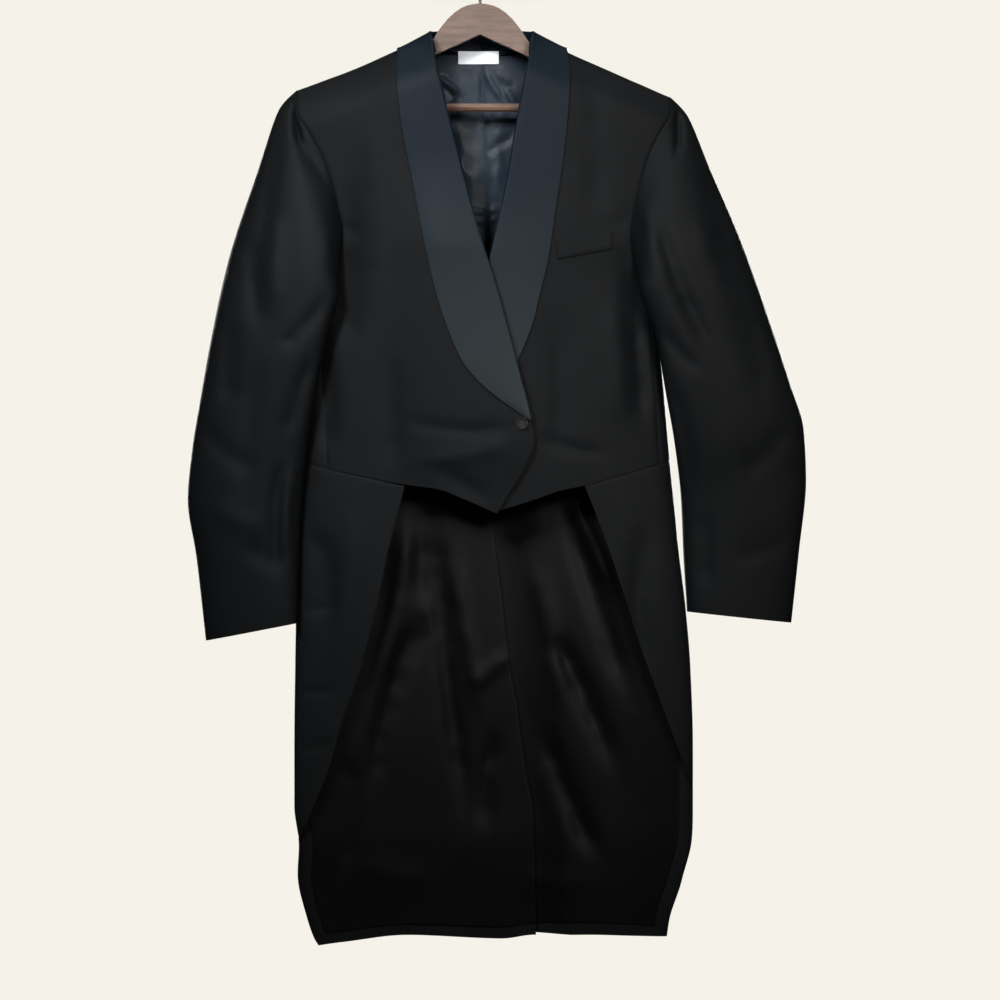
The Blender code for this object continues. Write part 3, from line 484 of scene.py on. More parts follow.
def prepared(layer):
    """A layer's creases with their lines worked out, and the box outside which each has no effect."""
    made = []
    for row in CREASES[layer]:
        depth, width = row[6:]
        line = crease_line(row)
        reach = 2.6 * width
        xs, zs = [p[0] for p in line], [p[1] for p in line]
        made.append((min(xs) - reach, max(xs) + reach, min(zs) - reach, max(zs) + reach, line, depth, width))
    return made


PREPARED = {layer: prepared(layer) for layer in CREASES}


def relief(layer, x, z):
    """How far a layer lies behind its plain form at a place, from its creases and slow swells."""
    depth_here = SWELL[layer] * noise.noise(Vector((x / SWELL_SIZE, z / (1.8 * SWELL_SIZE), len(layer))))
    for low_x, high_x, low_z, high_z, line, depth, width in PREPARED[layer]:
        if low_x < x < high_x and low_z < z < high_z:
            away, along = nearest(line, x, z)
            fade = ease(0, 0.28, along) * (1 - ease(0.72, 1, along))
            uneven = 1 + 0.25 * noise.noise(Vector((x / 23, z / 23, depth)))
            depth_here += depth * uneven * mix(0.12, 1, fade) * math.exp(-(away / width) ** 2)
    return depth_here * bpy.context.scene.tailcoat_sizes.crease


def middle(z):
    return read(BODY, "middle", z)


def shoulder_round(x, z):
    """How the cloth closes towards the top of the shoulder: 0 on the shoulder line, 1 well below it."""
    side = LEFT if x > middle(z) else RIGHT
    below = read(SHOULDER, SIDE_NAME[side], abs(x - middle(z))) - z
    drop = 1 - min(1.0, max(0.0, below / SHOULDER_DROP))
    return math.sqrt(1 - drop * drop)


def rounding(x, z):
    """How far the cloth stands off at x, as a share of the most: less near the sides and the top."""
    u = min(1.0, abs(x - middle(z)) / read(BODY, "half", z))
    return (1 - u**CORNER) ** (1 / CORNER) * shoulder_round(x, z)


def pressed(layer, x, z, stand_off):
    """The layer's relief, which fades out where the cloth turns round the sides and the shoulders."""
    return relief(layer, x, z) * min(1.0, 1.6 * stand_off)


def front_y(x, z):
    stand_off = rounding(x, z)
    return pressed("front", x, z, stand_off) - read(BODY, "front", z) * stand_off


def back_y(x, z):
    stand_off = rounding(x, z)
    return read(BODY, "back", z) * stand_off + pressed("back", x, z, stand_off)


def inside_back_y(x, z, inset):
    """The back's inner side, moved in by an inset that also narrows it."""
    u = min(1.0, abs(x - middle(z)) / (read(BODY, "half", z) - 1.5 * inset))
    stand_off = (1 - u**CORNER) ** (1 / CORNER) * shoulder_round(x, z + 2 * inset)
    return (read(BODY, "back", z) - inset) * stand_off + pressed("back", x, z, rounding(x, z))


def wrap(side, angle, z):
    """A point on the body: 0 degrees is the middle of the front, 90 the side, 180 the back."""
    turn = math.radians(angle)
    x = middle(z) + side * read(BODY, "half", z) * math.sin(turn) ** (2 / CORNER)
    stand_off = abs(math.cos(turn)) ** (2 / CORNER) * shoulder_round(x, z)
    if angle < 90:
        return Vector((x, pressed("front", x, z, stand_off) - read(BODY, "front", z) * stand_off, z))
    return Vector((x, pressed("back", x, z, stand_off) + read(BODY, "back", z) * stand_off, z))


def angle_of(across, z, on_back):
    """The angle at which the body is this far from its middle."""
    share = min(1.0, across / read(BODY, "half", z))
    angle = math.degrees(math.asin(share ** (CORNER / 2)))
    return 180 - angle if on_back else angle


def finer(values, step):
    """The same values with others between, so that no two are further apart than the step."""
    made = [values[0]]
    for low, high in zip(values, values[1:]):
        count = max(1, math.ceil(abs(high - low) / step - 0.001))
        made += [mix(low, high, (i + 1) / count) for i in range(count)]
    return made


def shares(length, grid=GRID):
    """Places from 0 to 1 along a panel's side, closer together near both ends."""
    near = [0, 0.8 / length, 2.2 / length, 4.2 / length]
    between = spaced(near[-1], 1 - near[-1], max(2, round((length - 8.4) / grid) + 1))
    return near[:-1] + between + [1 - t for t in reversed(near[:-1])]


# ---------------------------------------------------------------- making pieces
def finish_piece(made, node_names, finish):
    """A piece gets its material, hangs from the root body, and hides the CAD nodes it stands for."""
    made.data.materials.clear()
    made.data.materials.append(finish)
    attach(made, "root")
    if node_names:
        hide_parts(*node_names)
    return made


def cloth(node_name, rows, outward, sewn, thickness, finish, suffix="wool"):
    """A panel: a grid moved to the rows of points, its sewn edges drawn in, made a wall by Solidify.

    outward is 1 where the grid's own faces look out of the coat and -1 where they look into it.
    sewn gives, for each edge that is a seam (inner, outer, low, high), how deep its groove is: one depth,
    or a depth below a height, another above it, and that height.
    """
    across, up = len(rows[0]), len(rows)
    centre = rows[up // 2]
    spine = [row[across // 2] for row in rows]
    run_u = [0.0]
    for a, b in zip(centre, centre[1:]):
        run_u.append(run_u[-1] + (b - a).length)
    run_v = [0.0]
    for a, b in zip(spine, spine[1:]):
        run_v.append(run_v[-1] + (b - a).length)
    work = bmesh.new()
    bmesh.ops.create_grid(work, x_segments=across - 1, y_segments=up - 1, size=0.5)
    layer = work.loops.layers.uv.new("UVMap")
    place_of = {}
    for vertex in work.verts:
        column = round((vertex.co.x + 0.5) * (across - 1))
        row = round((vertex.co.y + 0.5) * (up - 1))
        place_of[vertex] = (column, row)
        vertex.co = rows[row][column]
    if outward < 0:
        bmesh.ops.reverse_faces(work, faces=work.faces)
    for face in work.faces:
        for corner in face.loops:
            column, row = place_of[corner.vert]
            corner[layer].uv = (run_u[column] * MM, run_v[row] * MM)
    work.normal_update()
    moves = []
    for vertex, (column, row) in place_of.items():
        gaps = {"inner": run_u[column], "outer": run_u[-1] - run_u[column],
                "low": run_v[row], "high": run_v[-1] - run_v[row]}
        sink = 0.0
        for edge, depth in sewn.items():
            if isinstance(depth, tuple):
                depth = depth[1] if vertex.co.z > depth[2] else depth[0]
            sink = max(sink, depth * math.exp(-(gaps[edge] / GROOVE_WIDTH) ** 2))
        if sink > 0.01:
            moves.append((vertex, vertex.normal * sink))
    for vertex, move in moves:
        vertex.co -= move
    for vertex in work.verts:
        vertex.co *= MM
    mesh = bpy.data.meshes.new(f"{node_name}_{suffix}")
    work.to_mesh(mesh)
    work.free()
    mesh.shade_smooth()
    made = bpy.data.objects.new(f"{node_name}_{suffix}", mesh)
    bpy.context.scene.collection.objects.link(made)
    wall = made.modifiers.new("wall", "SOLIDIFY")
    wall.thickness = thickness
    wall.offset = 0
    rim = made.modifiers.new("rim", "BEVEL")
    rim.width = min(RIM * MM, thickness * 0.3)
    rim.segments = 2
    rim.limit_method = "ANGLE"
    rim.angle_limit = math.radians(60)
    finish_piece(made, [node_name], finish)
    return made


def panel(low, high, inner, outer, across, heights):
    """Points (x, z) between four edges: low and high run across, inner and outer run up."""
    rows = []
    for v in heights:
        inner_v, outer_v = inner(v), outer(v)
        row = []
        for u in across:
            ruled = [mix(inner_v[k], outer_v[k], u) for k in (0, 1)]
            low_u, high_u = low(u), high(u)
            for k in (0, 1):
                ruled[k] += (1 - v) ** 3 * (low_u[k] - mix(low(0)[k], low(1)[k], u))
                ruled[k] += v**3 * (high_u[k] - mix(high(0)[k], high(1)[k], u))
            row.append(tuple(ruled))
        rows.append(row)
    return rows


# ---------------------------------------------------------------- body
def shoulder_height(side, across):
    return read(SHOULDER, SIDE_NAME[side], across)


def armhole_height(side, degrees):
    return mix(shoulder_height(side, ARMHOLE["front"][-1]), UNDERARM, read(RING, "down", degrees))


def forepart_y(side, x, z):
    """The forepart's middle surface: the right one stands in front where it laps over the left."""
    if side == LEFT:
        return front_y(x, z) - RIDGE_ROOM
    over = ease(-125, -40, x) * ease(-230, -352, z)
    return front_y(x, z) - RIDGE_ROOM - over * mix(FRONT_LAP * 0.6, FRONT_LAP, ease(-640, -575, z))


def forepart_outer(side, z):
    """The forepart's outer edge: the side seam, then the front of the armhole."""
    seam_top = armhole_height(side, SIDE_SEAM_RING)
    if z < seam_top:
        return middle(z) + side * (read(SIDE_SEAM, SIDE_NAME[side], z) - SEAM)
    lap = ARMHOLE_LAP * ease(seam_top, seam_top + 12, z)
    return middle(z) + side * (read(ARMHOLE, "front", z) + lap)


def forepart(side, sizes, finish):
    edge = FRONT_EDGE[side]
    point, neck = edge["height"][0], edge["height"][-1]
    low_out = read(WAIST[side], "height", forepart_outer(side, SIDE_SEAM["height"][0])) + WAIST_ROOM
    shoulder_end = ARMHOLE["front"][-1] + ARMHOLE_LAP
    high_out = shoulder_height(side, shoulder_end)

    def inner(v):
        z = mix(point, neck, v)
        under_fold = 2.5 * ease(-562, -545, z)
        return read(edge, "across", z) + side * under_fold, z

    def outer(v):
        z = mix(low_out, high_out, v)
        return forepart_outer(side, z), z

    def low(u):
        x = mix(inner(0)[0], outer(0)[0], u)
        return x, read(WAIST[side], "height", x) + WAIST_ROOM * ease(0, 0.3, u)

    def high(u):
        across = mix(abs(inner(1)[0] - middle(neck)), shoulder_end, u)
        return middle(neck) + side * across, shoulder_height(side, across)

    corner = (FRONT_CORNER - point) / (neck - point)
    ends = [0, 0.0015, 0.004, 0.008, corner, 0.9] + SHOULDER_ROWS
    heights = finer(ends, GRID / (high_out - low_out))
    rows = [[Vector((x, forepart_y(side, x, z), z)) for x, z in row]
            for row in panel(low, high, inner, outer, shares(225), heights)]
    seams = {"outer": (GROOVE, ARMHOLE_SINK, armhole_height(side, SIDE_SEAM_RING)), "high": GROOVE}
    cloth(f"forepart_{SIDE_NAME[side]}", rows, side, seams, sizes.wool, finish)


def seam_angle(side, z, on_back):
    if on_back:
        return angle_of(read(BACK_SEAM, "across", z) + SEAM, z, True)
    return angle_of(read(SIDE_SEAM, SIDE_NAME[side], z) + SEAM, z, False)


def waist_height(side, angle):
    """The waist seam: as the forepart's lower edge in front, then level round the side to the back."""
    x = wrap(side, min(angle, 90), -600).x
    return mix(read(WAIST[side], "height", x), WAIST_BACK, ease(90, 170, angle))


def underarm_rows(side):
    """The armhole's lower part as angles round the body and heights, front to back."""
    front_low = armhole_height(side, SIDE_SEAM_RING)
    back_low = armhole_height(side, BACK_SEAM_RING)
    front = [(angle_of(read(ARMHOLE, "front", z), z, False), z) for z in spaced(front_low, UNDERARM, 5)]
    back = [(angle_of(read(ARMHOLE, "back", z), z, True), z) for z in spaced(UNDERARM, back_low, 7)]
    return table("angle height", *(front + back[1:]))


def sidebody(side, sizes, finish):
    underarm = underarm_rows(side)
    front_low = waist_height(side, seam_angle(side, -600, False)) + WAIST_ROOM
    front_high = armhole_height(side, SIDE_SEAM_RING) - SEAM
    back_high = armhole_height(side, BACK_SEAM_RING) - SEAM

    def inner(v):
        z = mix(front_low, front_high, v)
        return seam_angle(side, z, False), z

    def outer(v):
        z = mix(WAIST_BACK + WAIST_ROOM, back_high, v)
        return seam_angle(side, z, True), z

    def low(u):
        angle = mix(inner(0)[0], outer(0)[0], u)
        return angle, waist_height(side, angle) + WAIST_ROOM

    def high(u):
        angle = mix(inner(1)[0], outer(1)[0], u)
        return angle, read(underarm, "height", angle) - SEAM

    rows = [[wrap(side, angle, z) for angle, z in row]
            for row in panel(low, high, inner, outer, shares(160), shares(250))]
    seams = {"inner": GROOVE, "outer": GROOVE, "low": GROOVE, "high": ARMHOLE_SINK}
    cloth(f"sidebody_{SIDE_NAME[side]}", rows, side, seams, sizes.wool, finish)


def vent_lap(side, x, z):
    """How far behind the middle surface a tail hangs: the left one passes behind the right one."""
    if side == RIGHT:
        return 0.0
    free = 1 - ease(read(VENT, "across", z) + 2, middle(z) + read(BACK_SEAM, "across", z) - 2, x)
    return VENT_STEP * free * ease(-565, VENT_CORNER, z)


def vent_edge(side, z):
    if z > WAIST_BACK - 1:
        return middle(z) + side * SEAM
    if side == RIGHT:
        return read(VENT, "across", z)
    return read(VENT, "across", z) - VENT_LAP * ease(WAIST_BACK, VENT_CORNER, z)


def back_outer(side, z):
    seam_top = armhole_height(side, BACK_SEAM_RING)
    if z < seam_top:
        return middle(z) + side * (read(BACK_SEAM, "across", z) - SEAM)
    lap = ARMHOLE_LAP * ease(seam_top, seam_top + 12, z)
    return middle(z) + side * (read(ARMHOLE, "back", z) + lap)


def back_neck_height(side, across):
    """The back's top edge: the neck seam, then the shoulder seam."""
    if across > NECK_HALF:
        return shoulder_height(side, across)
    return mix(BACK_NECK, shoulder_height(side, NECK_HALF), (across / NECK_HALF) ** 2)


def back(side, sizes, finish):
    shoulder_end = ARMHOLE["back"][-1] + ARMHOLE_LAP
    high_out = shoulder_height(side, shoulder_end)

    def inner(v):
        z = mix(HEM_AT_SEAM, high_out, v)
        above_waist = max(0, (z - WAIST_BACK) / (high_out - WAIST_BACK))
        z += above_waist * (BACK_NECK - high_out)
        return vent_edge(side, z), z

    def outer(v):
        z = mix(HEM_AT_SEAM, high_out, v)
        return back_outer(side, z), z

    def low(u):
        x = mix(inner(0)[0], outer(0)[0], u)
        return x, read(HEM, "height", x)

    def high(u):
        across = mix(SEAM, shoulder_end, u)
        return middle(BACK_NECK) + side * across, back_neck_height(side, across)

    length = high_out - HEM_AT_SEAM
    waist = (WAIST_BACK - HEM_AT_SEAM) / length
    vent = (VENT_CORNER - HEM_AT_SEAM) / length
    ends = [0, 0.001, 0.0025, 0.004, vent, mix(vent, waist, 0.5), waist - 0.0005, waist, 0.94]
    heights = finer(ends + BACK_SHOULDER_ROWS, GRID / length)
    rows = [[Vector((x, back_y(x, z) + RIDGE_ROOM + vent_lap(side, x, z), z)) for x, z in row]
            for row in panel(low, high, inner, outer, shares(130), heights)]
    seams = {"inner": (0, GROOVE, WAIST_BACK), "high": GROOVE,
             "outer": (GROOVE, ARMHOLE_SINK, armhole_height(side, BACK_SEAM_RING))}
    cloth(f"back_{SIDE_NAME[side]}", rows, -side, seams, sizes.wool, finish)


def skirt(side, sizes, finish):
    edge = SKIRT_EDGE[side]
    edge_top = edge["height"][-1] - WAIST_ROOM
    side_hem = read(HEM, "height", middle(-1155) + side * read(BODY, "half", -1155))

    def inner(v):
        z = mix(side_hem, edge_top, v)
        if z < edge["height"][0]:
            return mix(90, 97, ease(edge["height"][0], side_hem, z)), z
        return angle_of(abs(read(edge, "across", z) - middle(z)), z, False), z

    def outer(v):
        z = mix(HEM_AT_SEAM, WAIST_BACK - WAIST_ROOM, v)
        return seam_angle(side, z, True), z

    def low(u):
        angle = mix(inner(0)[0], outer(0)[0], u)
        return angle, read(HEM, "height", wrap(side, angle, -1155).x)

    def high(u):
        angle = mix(inner(1)[0], outer(1)[0], u)
        return angle, waist_height(side, angle) - WAIST_ROOM

    rows = [[wrap(side, angle, z) for angle, z in row]
            for row in panel(low, high, inner, outer, shares(215), shares(560))]
    cloth(f"skirt_{SIDE_NAME[side]}", rows, side, {"outer": GROOVE, "high": GROOVE}, sizes.wool, finish)


# ---------------------------------------------------------------- sleeves
def armhole_point(side, degrees):
    """The sleeve's first ring, from the shoulder's end down the front, under the arm and up the back."""
    z = armhole_height(side, degrees)
    at_front = degrees < RING_UNDERARM
    x = middle(z) + side * read(ARMHOLE, "front" if at_front else "back", z)
    y = front_y(x, z) if at_front else back_y(x, z)
    under = ease(125, 185, degrees) * (1 - ease(245, 290, degrees))
    room = mix(ARMHOLE_ROOM, UNDERARM_ROOM, under)
    return Vector((x + side * room, y, z - ARMHOLE_ROOM * under))


def sleeve_point(side, station, degrees):
    """A point of a flattened ring between the sleeve's outer edge, at 0 degrees, and its inner edge."""
    if station == 0:
        return armhole_point(side, degrees)
    row = {name: column[station - 1] for name, column in SLEEVE[side].items()}
    inner = Vector((row["in_x"], row["in_y"], row["in_z"]))
    outer = Vector((row["out_x"], row["out_y"], row["out_z"]))
    turn = math.radians(degrees)
    if degrees <= 180:
        power = SLEEVE_ROUND["front"]
    else:
        power = SLEEVE_ROUND["back_inner" if degrees < 270 else "back_outer"]
    along = math.copysign(abs(math.cos(turn)) ** (2 / power), math.cos(turn))
    off = abs(math.sin(turn)) ** (2 / power) * (-row["front"] if degrees <= 180 else row["back"])
    point = (inner + outer) / 2 + (outer - inner) / 2 * along + Vector((0, off, 0))
    if station >= UNDERARM_STATIONS:
        return point
    under = ease(125, 165, degrees) * (1 - ease(255, 300, degrees))
    far = sleeve_point(side, UNDERARM_STATIONS, degrees)
    return point.lerp(armhole_point(side, degrees).lerp(far, station / UNDERARM_STATIONS), under)


def sleeve_half(name, side, start, end, sizes, finish):
    """One of the sleeve's two pieces, with the creases of its front and softer ones behind."""
    steps = finer([0, 0.02, 0.05, 0.1, 8.9, 8.96, 8.985, 9], 0.062)
    layer = f"sleeve_{SIDE_NAME[side]}"
    columns = []
    for share in shares(end - start, SLEEVE_GRID_DEGREES):
        degrees = mix(start, end, share)
        points = []
        for station in range(10):
            points.append(sleeve_point(side, station, degrees % 360))
        line = table("step x y z", *((i, *point) for i, point in enumerate(points)))
        facing = math.sin(math.radians(degrees))
        fade = min(1.0, 1.5 * abs(facing)) * (1 if facing > 0 else -0.6)
        column = []
        for step in steps:
            x, y, z = (read(line, axis, step) for axis in "xyz")
            y += fade * ease(0, 0.5, step) * relief(layer, x, z)
            column.append(Vector((x, y, z)))
        columns.append(column)
    rows = [list(row) for row in zip(*columns)]
    seams = {"inner": GROOVE, "outer": GROOVE, "low": SLEEVE_EDGE}
    cloth(f"{name}_{SIDE_NAME[side]}", rows, side, seams, sizes.wool, finish)


def sleeve(side, sizes, finish):
    sleeve_half("topsleeve", side, SLEEVE_SEAM_OUTER - 360, SLEEVE_SEAM_INNER, sizes, finish)
    sleeve_half("undersleeve", side, SLEEVE_SEAM_INNER, SLEEVE_SEAM_OUTER, sizes, finish)


# ---------------------------------------------------------------- collar
def lapel_row(side, z):
    """Across the lapel at one height: outer edge, fall, fold, and the cloth turned back under it."""
    edge = read(COLLAR_EDGE[side], "across", z)
    fold = read(FRONT_EDGE[side], "across", z)
    width = abs(edge - fold)
    fold_in = fold + side * min(2.0, width * 0.25)
    turned = fold + side * min(LAPEL_RETURN, width * 0.6)
    places = []
    for t in COLLAR_FALL:
        lift = mix(LAPEL_EDGE_LIFT, LAPEL_FOLD_LIFT, t) + LAPEL_SWELL * math.sin(math.pi * t)
        places.append((mix(edge, fold_in, t), lift))
    middle_lift = (LAPEL_FOLD_LIFT + LAPEL_RETURN_LIFT) / 2
    half_round = (LAPEL_FOLD_LIFT - LAPEL_RETURN_LIFT) / 2
    for degrees in FOLD_TURN:
        turn = math.radians(degrees)
        places.append((mix(fold_in, fold, math.cos(turn)), middle_lift + half_round * math.sin(turn)))
    places += [(mix(fold_in, turned, t), LAPEL_RETURN_LIFT) for t in (0.3, 0.65, 1)]
    return [Vector((x, forepart_y(side, x, z) - lift, z)) for x, lift in places]


def neck_row(side, step):
    """Across the collar beside and behind the neck: outer edge, fall, fold and stand."""
    def point(name):
        x, y, z = (read(NECK, f"{name}_{axis}", step) for axis in "xyz")
        return Vector((middle(z) + side * max(x, SEAM / 2), y, z))
    edge, fold, foot = point("edge"), point("fold"), point("foot")
    outside = fold + (edge - fold).normalized() * 2.2
    inside = fold + (foot - fold).normalized() * 2.2
    swell = (edge - foot).normalized() * 1.5
    fall = [edge.lerp(outside, t) + swell * (4 * t * (1 - t)) for t in COLLAR_FALL]
    turned = []
    for degrees in FOLD_TURN:
        t = 0.5 - 0.5 * math.sin(math.radians(degrees))
        over = fold - (outside + inside) / 2
        turned.append(outside.lerp(inside, t) + over * 0.75 * math.cos(math.radians(degrees)))
    return fall + turned + [inside.lerp(foot, t) for t in (0.3, 0.65, 1)]


def collar(side, sizes, finish):
    rows = [lapel_row(side, z) for z in finer(list(LAPEL_HEIGHTS), GRID)]
    rows += [neck_row(side, step) for step in finer(list(NECK_STEPS), 0.16)]
    smooth = rows.copy()
    join = len(finer(list(LAPEL_HEIGHTS), GRID))
    for _ in range(COLLAR_BLENDS):
        for i in range(join - 5, join + 5):
            smooth[i] = [(a + b * 2 + c) / 4 for a, b, c in zip(rows[i - 1], rows[i], rows[i + 1])]
        rows = smooth.copy()
    cloth(f"collar_{SIDE_NAME[side]}", rows, -side, {"high": GROOVE / 2}, sizes.satin, finish,
          "satin")


# ---------------------------------------------------------------- linings and label
def rumple(x, z):
    """The back lining's own creases, which stand towards the front."""
    crumple = noise.noise(Vector((x / RUMPLE_SIZE, z / (1.6 * RUMPLE_SIZE), 4)))
    fine = noise.noise(Vector((x / (0.4 * RUMPLE_SIZE), z / (0.7 * RUMPLE_SIZE), 9)))
    return relief("lining", x, z) - RUMPLE * (0.7 + abs(crumple) * 1.6 + 0.35 * fine)


def back_lining(side, sizes, finish):
    def inner(v):
        z = mix(BACK_LINING_FOOT, BACK_NECK - 4.5, v)
        return middle(z) + side * SEAM / 2, z

    def outer(v):
        z = mix(BACK_LINING_FOOT, shoulder_height(side, BACK_LINING_HALF) - 15, v)
        return middle(z) + side * BACK_LINING_HALF, z

    def low(u):
        return mix(inner(0)[0], outer(0)[0], u), BACK_LINING_FOOT

    def high(u):
        across = u * BACK_LINING_HALF
        below = mix(4.5, 15, ease(0.2, 0.7, u))
        return middle(BACK_NECK) + side * across, back_neck_height(side, across) - below

    rows = []
    for row in panel(low, high, inner, outer, shares(104, 2.4), shares(305, 2.4)):
        line = []
        for x, z in row:
            clear = ease(0, 9, abs(x - middle(z))) * label_clear(x, z)
            line.append(Vector((x, inside_back_y(x, z, LINING_IN) + rumple(x, z) * mix(0.15, 1, clear), z)))
        rows.append(line)
    cloth(f"back_lining_{SIDE_NAME[side]}", rows, side, {"inner": GROOVE}, sizes.lining, finish,
          "satin")


def label_clear(x, z):
    """0 behind the label, so that no crease comes through it, and 1 away from it."""
    left, right, low, high = LABEL_SPAN
    return 1 - (1 - ease(0, 5, max(left - x, x - right))) * (1 - ease(0, 5, max(low - z, z - high)))


def tail_lining(side, sizes, finish):
    """Inside the tail from the vent to the seam, and on to the side."""
    rows = []
    length = WAIST_BACK - HEM_AT_SEAM
    corner = (VENT_CORNER - HEM_AT_SEAM) / length
    for share in finer([0, 0.002, 0.005, corner, mix(corner, 1, 0.5), 1], GRID / length):
        level = mix(HEM_AT_SEAM, WAIST_BACK, share)
        start = vent_edge(side, level)
        seam = back_outer(side, level)
        side_edge = middle(level) + side * (read(BODY, "half", level) - 15)
        places = [start + side * 0.2] + [mix(start, seam, u) for u in spaced(0, 1, 29)[1:]]
        places += [mix(seam, side_edge, u) for u in spaced(0, 1, 37)[1:]]
        row = []
        for x in places:
            z = mix(read(HEM, "height", x) + TAIL_LINING_RISE, TAIL_LINING_TOP, share)
            row.append(Vector((x, inside_back_y(x, z, LINING_IN) + vent_lap(side, x, z), z)))
        rows.append(row)
    cloth(f"tail_lining_{SIDE_NAME[side]}", rows, side, {}, sizes.lining, finish, "satin")


def label(sizes, finish):
    left, right, low, high = LABEL_SPAN

    def rippled(x, z):
        return inside_back_y(x, z, LABEL_IN) - LABEL_RIPPLE * math.sin(x / LABEL_RIPPLE_RUN)

    rows = [[Vector((x, rippled(x, z), z)) for x in spaced(left, right, 25)] for z in spaced(low, high, 9)]
    cloth("label", rows, 1, {}, sizes.lining * 0.8, finish, "ribbon")


def breast_welt(sizes, finish):
    top_in, top_out, low_out, low_in = (Vector(corner) for corner in WELT_CORNERS)
    rows = []
    for v in shares((top_in - low_in).length, 2):
        row = []
        for u in shares((low_out - low_in).length, 3):
            x, z = low_in.lerp(low_out, u).lerp(top_in.lerp(top_out, u), v)
            row.append(Vector((x, forepart_y(LEFT, x, z) - WELT_OUT, z)))
        rows.append(row)
    sewn = {"inner": GROOVE / 2, "outer": GROOVE / 2, "low": GROOVE}
    cloth("breast_welt", rows, 1, sewn, sizes.welt, finish)


# ---------------------------------------------------------------- stitches and small trimmings
def stitch_row(work, path, pitch, length, thickness):
    """Stitches along a path: short six-sided threads, drawn down into the cloth at both ends."""
    for a, b in zip(path, path[1:]):
        along = b - a
        count = max(1, round(along.length / pitch))
        for i in range(count):
            centre = a + along * ((i + 0.5) / count)
            turn = along.to_track_quat("Z", "Y").to_matrix().to_4x4()
            made = bmesh.ops.create_cone(work, cap_ends=True, segments=6, radius1=thickness * 0.7,
                                         radius2=thickness * 0.7, depth=length)
            for vertex in made["verts"]:
                vertex.co.x *= 0.85
            bmesh.ops.transform(work, verts=made["verts"], matrix=turn)
            bmesh.ops.translate(work, verts=made["verts"], vec=centre)


def threads(name, paths, pitch, length, thickness, finish):
    """Rows of stitches as one piece."""
    work = bmesh.new()
    for path in paths:
        stitch_row(work, path, pitch, length, thickness)
    bmesh.ops.scale(work, verts=work.verts, vec=(MM, MM, MM))
    mesh = bpy.data.meshes.new(name)
    work.to_mesh(mesh)
    work.free()
    mesh.shade_smooth()
    made = bpy.data.objects.new(name, mesh)
    bpy.context.scene.collection.objects.link(made)
    return finish_piece(made, [], finish)


def label_threads(finish):
    """The label's four rows of small hemming stitches."""
    left, right, low, high = LABEL_SPAN
    inset = 1.1

    def on_label(x, z):
        return Vector((x, inside_back_y(x, z, LABEL_IN) - 0.75, z))
    sides = [[on_label(left + inset, z) for z in spaced(low + 1, high - 1, 4)],
             [on_label(right - inset, z) for z in spaced(low + 1, high - 1, 4)],
             [on_label(x, high - inset) for x in spaced(left + 1, right - 1, 9)],
             [on_label(x, low + inset) for x in spaced(left + 1, right - 1, 9)]]
    return threads("label_stitches", sides, 2.6, 1.7, 0.24, finish)


def welt_threads(finish):
    """The bar of stitches at each end of the breast pocket's welt."""
    top_in, top_out, low_out, low_in = (Vector(corner) for corner in WELT_CORNERS)
    bars = []
    for top, low, inwards in ((top_in, low_in, 1.6), (top_out, low_out, -1.6)):
        line = [top.lerp(low, t) + Vector((inwards, 0)) for t in spaced(0.08, 0.92, 3)]
        bars.append([Vector((x, forepart_y(LEFT, x, z) - WELT_OUT - 1.0, z)) for x, z in line])
    return threads("welt_stitches", bars, 1.5, 1.1, 0.3, finish)


def buttonhole(finish):
    """The worked edge of the buttonhole: a line of thread along each side of its cut."""
    x0, z0 = BUTTON_AT
    lips = []
    for above in (1.3, -1.3):
        line = [(x, z0 + above) for x in spaced(x0 + 3, x0 - BUTTONHOLE_LENGTH, 12)]
        lips.append([Vector((x, forepart_y(RIGHT, x, z) - WOOL / 2 - 0.15, z)) for x, z in line])
    return threads("buttonhole_stitches", lips, 0.9, 0.75, 0.42, finish)


def vent_tack(finish):
    """A small cross of thread that holds the vent, and the tacks at the vent's top."""
    tacks = []
    for x0, z0 in VENT_TACKS:
        for slant in (1, -1):
            ends = ((x0 - 3, z0 - 3 * slant), (x0 + 3, z0 + 3 * slant))
            tacks.append([Vector((x, inside_back_y(x, z, LINING_IN) - 0.9, z)) for x, z in ends])
    return threads("vent_tacks", tacks, 8.4, 8.2, 0.35, finish)


def loose_thread(finish):
    """A short thread end that has worked loose beside the button."""
    curve = bpy.data.curves.new("loose_thread", "CURVE")
    curve.dimensions = "3D"
    curve.bevel_depth = 0.22 * MM
    curve.bevel_resolution = 2
    curve.use_fill_caps = True
    spline = curve.splines.new("POLY")
    turns = spaced(0, 1, 15)
    spline.points.add(len(turns) - 1)
    x0, z0 = BUTTON_AT
    for point, t in zip(spline.points, turns):
        x = x0 + 6.5 + 7 * t + 1.2 * math.sin(6 * t)
        z = z0 - 3 - 9 * t - 1.5 * math.cos(7 * t)
        y = forepart_y(RIGHT, x0, z0) - WOOL / 2 - 1.2 - 2.4 * math.sin(math.pi * t)
        point.co = (x * MM, y * MM, z * MM, 1)
    drawn = bpy.data.objects.new("thread_draft", curve)
    bpy.context.scene.collection.objects.link(drawn)
    bpy.context.view_layer.update()
    mesh = bpy.data.meshes.new_from_object(drawn.evaluated_get(bpy.context.evaluated_depsgraph_get()))
    bpy.data.objects.remove(drawn)
    mesh.name = "loose_thread"
    made = bpy.data.objects.new("loose_thread", mesh)
    bpy.context.scene.collection.objects.link(made)
    return finish_piece(made, [], finish)


# ---------------------------------------------------------------- node helpers
# The Mix node's sockets for colours
MIX_FIRST, MIX_SECOND, MIX_RESULT = 6, 7, 2


